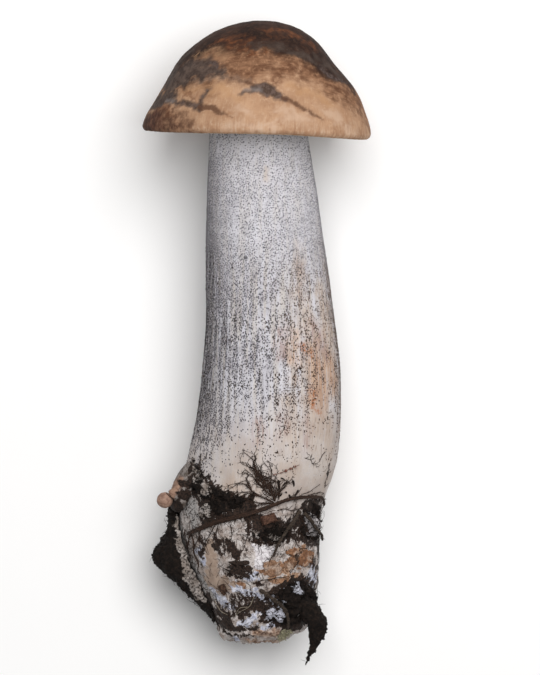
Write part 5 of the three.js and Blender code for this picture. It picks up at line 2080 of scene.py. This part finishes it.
# On the bud, seen from above: painted lines of (x, y, half width), and hairs as lines of (x, y).
BUD_SHAFT = [[(-24.6, 38.8, 1.9), (-22, 41.0, 1.7), (-19.8, 43.4, 0.9)]]
SHAFT_DEPTHS = (5.0, 7.5)  # the shaft's colour comes in between these values of z
BUD_DIRT = [
    [(-19.6, 43.0, 0.8), (-17.4, 42.6, 1.3), (-15.4, 41.6, 1.3)],
    [(-22.8, 37.4, 1.5), (-21.4, 36.4, 2.0), (-20.4, 33.6, 1.7), (-20, 30.8, 1.2)],
    [(-19.2, 39.8, 1.3), (-17.4, 38.8, 1.8)],
]
BUD_HAIRS = [
    [(-24.2, 40.9), (-23.5, 40.1), (-22.6, 39.2), (-21.4, 38.5), (-20.6, 39.1), (-19.4, 39.5)],
    [(-20.6, 43.6), (-19.8, 42.2), (-18.4, 41.8), (-17.2, 42.6)],
    [(-19.6, 41.4), (-18.2, 40.2), (-16.4, 39.8), (-15.2, 40.6)],
]
BUD_RADIUS = 2.1
BUD_ROWS, BUD_COLUMNS = 40, 64
BUD_VOXEL = 0.32
BUD_HALO_REACH = 1.8
ABOVE_ALL = 60.0  # height from which the hairs are dropped onto the bud
HAIR_STAND = 0.14


def lobe_look():
    look = Look("lobe_flesh", roughness=0.84, specular=0.22, gate=(0.02, 0.2))
    grit = look.noise(0.5, 4.0, 0.7)
    blotch = look.noise(1.3, 4.0, 0.65)
    colour = look.layers(
        (blotch, 0.38, 0.62, (142, 134, 130), (86, 77, 71)),
        ((46, 40, 38), (look.cells(0.62), 0.30, 0.16), 0.85),
        ((blotch, 0.36, 0.62, (156, 126, 108), (112, 85, 72)), "shaft"),
        ((grit, 0.42, 0.62, (26, 20, 17), (58, 44, 37)), look.torn("dirt", 0.3, 0.6, (grit, 1.0))),
    )
    return look.finish(colour, grit, strength=0.5, distance=0.12)


def make_lobe():
    points, faces = remeshed("bud_stem", BUD_VOXEL)
    points = relaxed(points, faces, 4)
    normals = vertex_normals(points, faces)
    points = points + normals * 0.10 * fractal(points, (1.6, 4, 1.6), 181, 3)[:, None]
    seen = from_above(points)
    shaft = painted(seen, BUD_SHAFT, on_plane, 0.6, 0.5, 1.5)
    shaft = shaft * smoothstep(points[:, 2] + 0.8 * fractal(points, 2.0, 187, 3), *SHAFT_DEPTHS)
    dirt = painted(seen, BUD_DIRT, on_plane, 0.7, 1.0, 1.6)
    near = near_soil(points, BUD_HALO_REACH)
    near = smoothstep(near + 0.8 * fractal(points, 1.2, 9), 0.45, 0.9) * smoothstep(near, 0, 0.3)
    masks = {"shaft": shaft, "dirt": np.maximum(dirt, near)}
    make_piece("bud_lobe", points, faces.tolist(), lobe_look(), ["bud_stem"], masks)


def make_knob():
    turn = np.linspace(0.06, math.pi - 0.06, BUD_ROWS)
    grid = turned(BUD_RADIUS * np.stack([np.sin(turn), np.cos(turn)], -1), BUD_COLUMNS)
    grid *= (1 + 0.035 * fractal(grid, 1.6, 191, 3))[..., None]
    low, high = (to_own(np.array(corner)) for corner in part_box("bud_cap"))
    points, faces = closed_grid(grid + (low + high) / 2)
    faces = [face[::-1] for face in faces]
    look = Look("bud_skin", roughness=0.7, specular=0.3)
    mottle = look.noise(0.9, 4.0, 0.65)
    colour = look.layers(
        (mottle, 0.36, 0.64, (160, 130, 114), (124, 96, 82)),
        ((92, 66, 56), (look.noise(0.25, 3.0), 0.6, 0.72), 0.5),
    )
    look.finish(colour, mottle, strength=0.4, distance=0.12)
    make_piece("bud_knob", points, faces, look, ["bud_cap"])


def make_bud_hairs():
    """Hairs that lie across the bent shaft."""
    rng = np.random.default_rng(68)
    tree = cad_tree("bud_stem", "bud_cap", "stem")
    hairs = Heap()
    down = np.array([0, 0, -1.0]) @ TURN
    for line in BUD_HAIRS:
        path = []
        for x, y in smooth_line(line, 5):
            hit = tree.ray_cast(Vector(np.array([x, y, ABOVE_ALL]) @ TURN), Vector(down))[0]
            if hit:
                path.append(np.array(hit) - HAIR_STAND * down)
        path = blurred(np.array(path), 1.0, 0, wrap=False)
        hairs.add(*tube(path, [0.13, 0.11, 0.06], 4), shade=rng.uniform(0, 1))
    heap_piece("bud_hairs", hairs, root_look("bud_hair", (30, 20, 15), (64, 44, 34)), "root")


make_lobe()
make_knob()
make_bud_hairs()
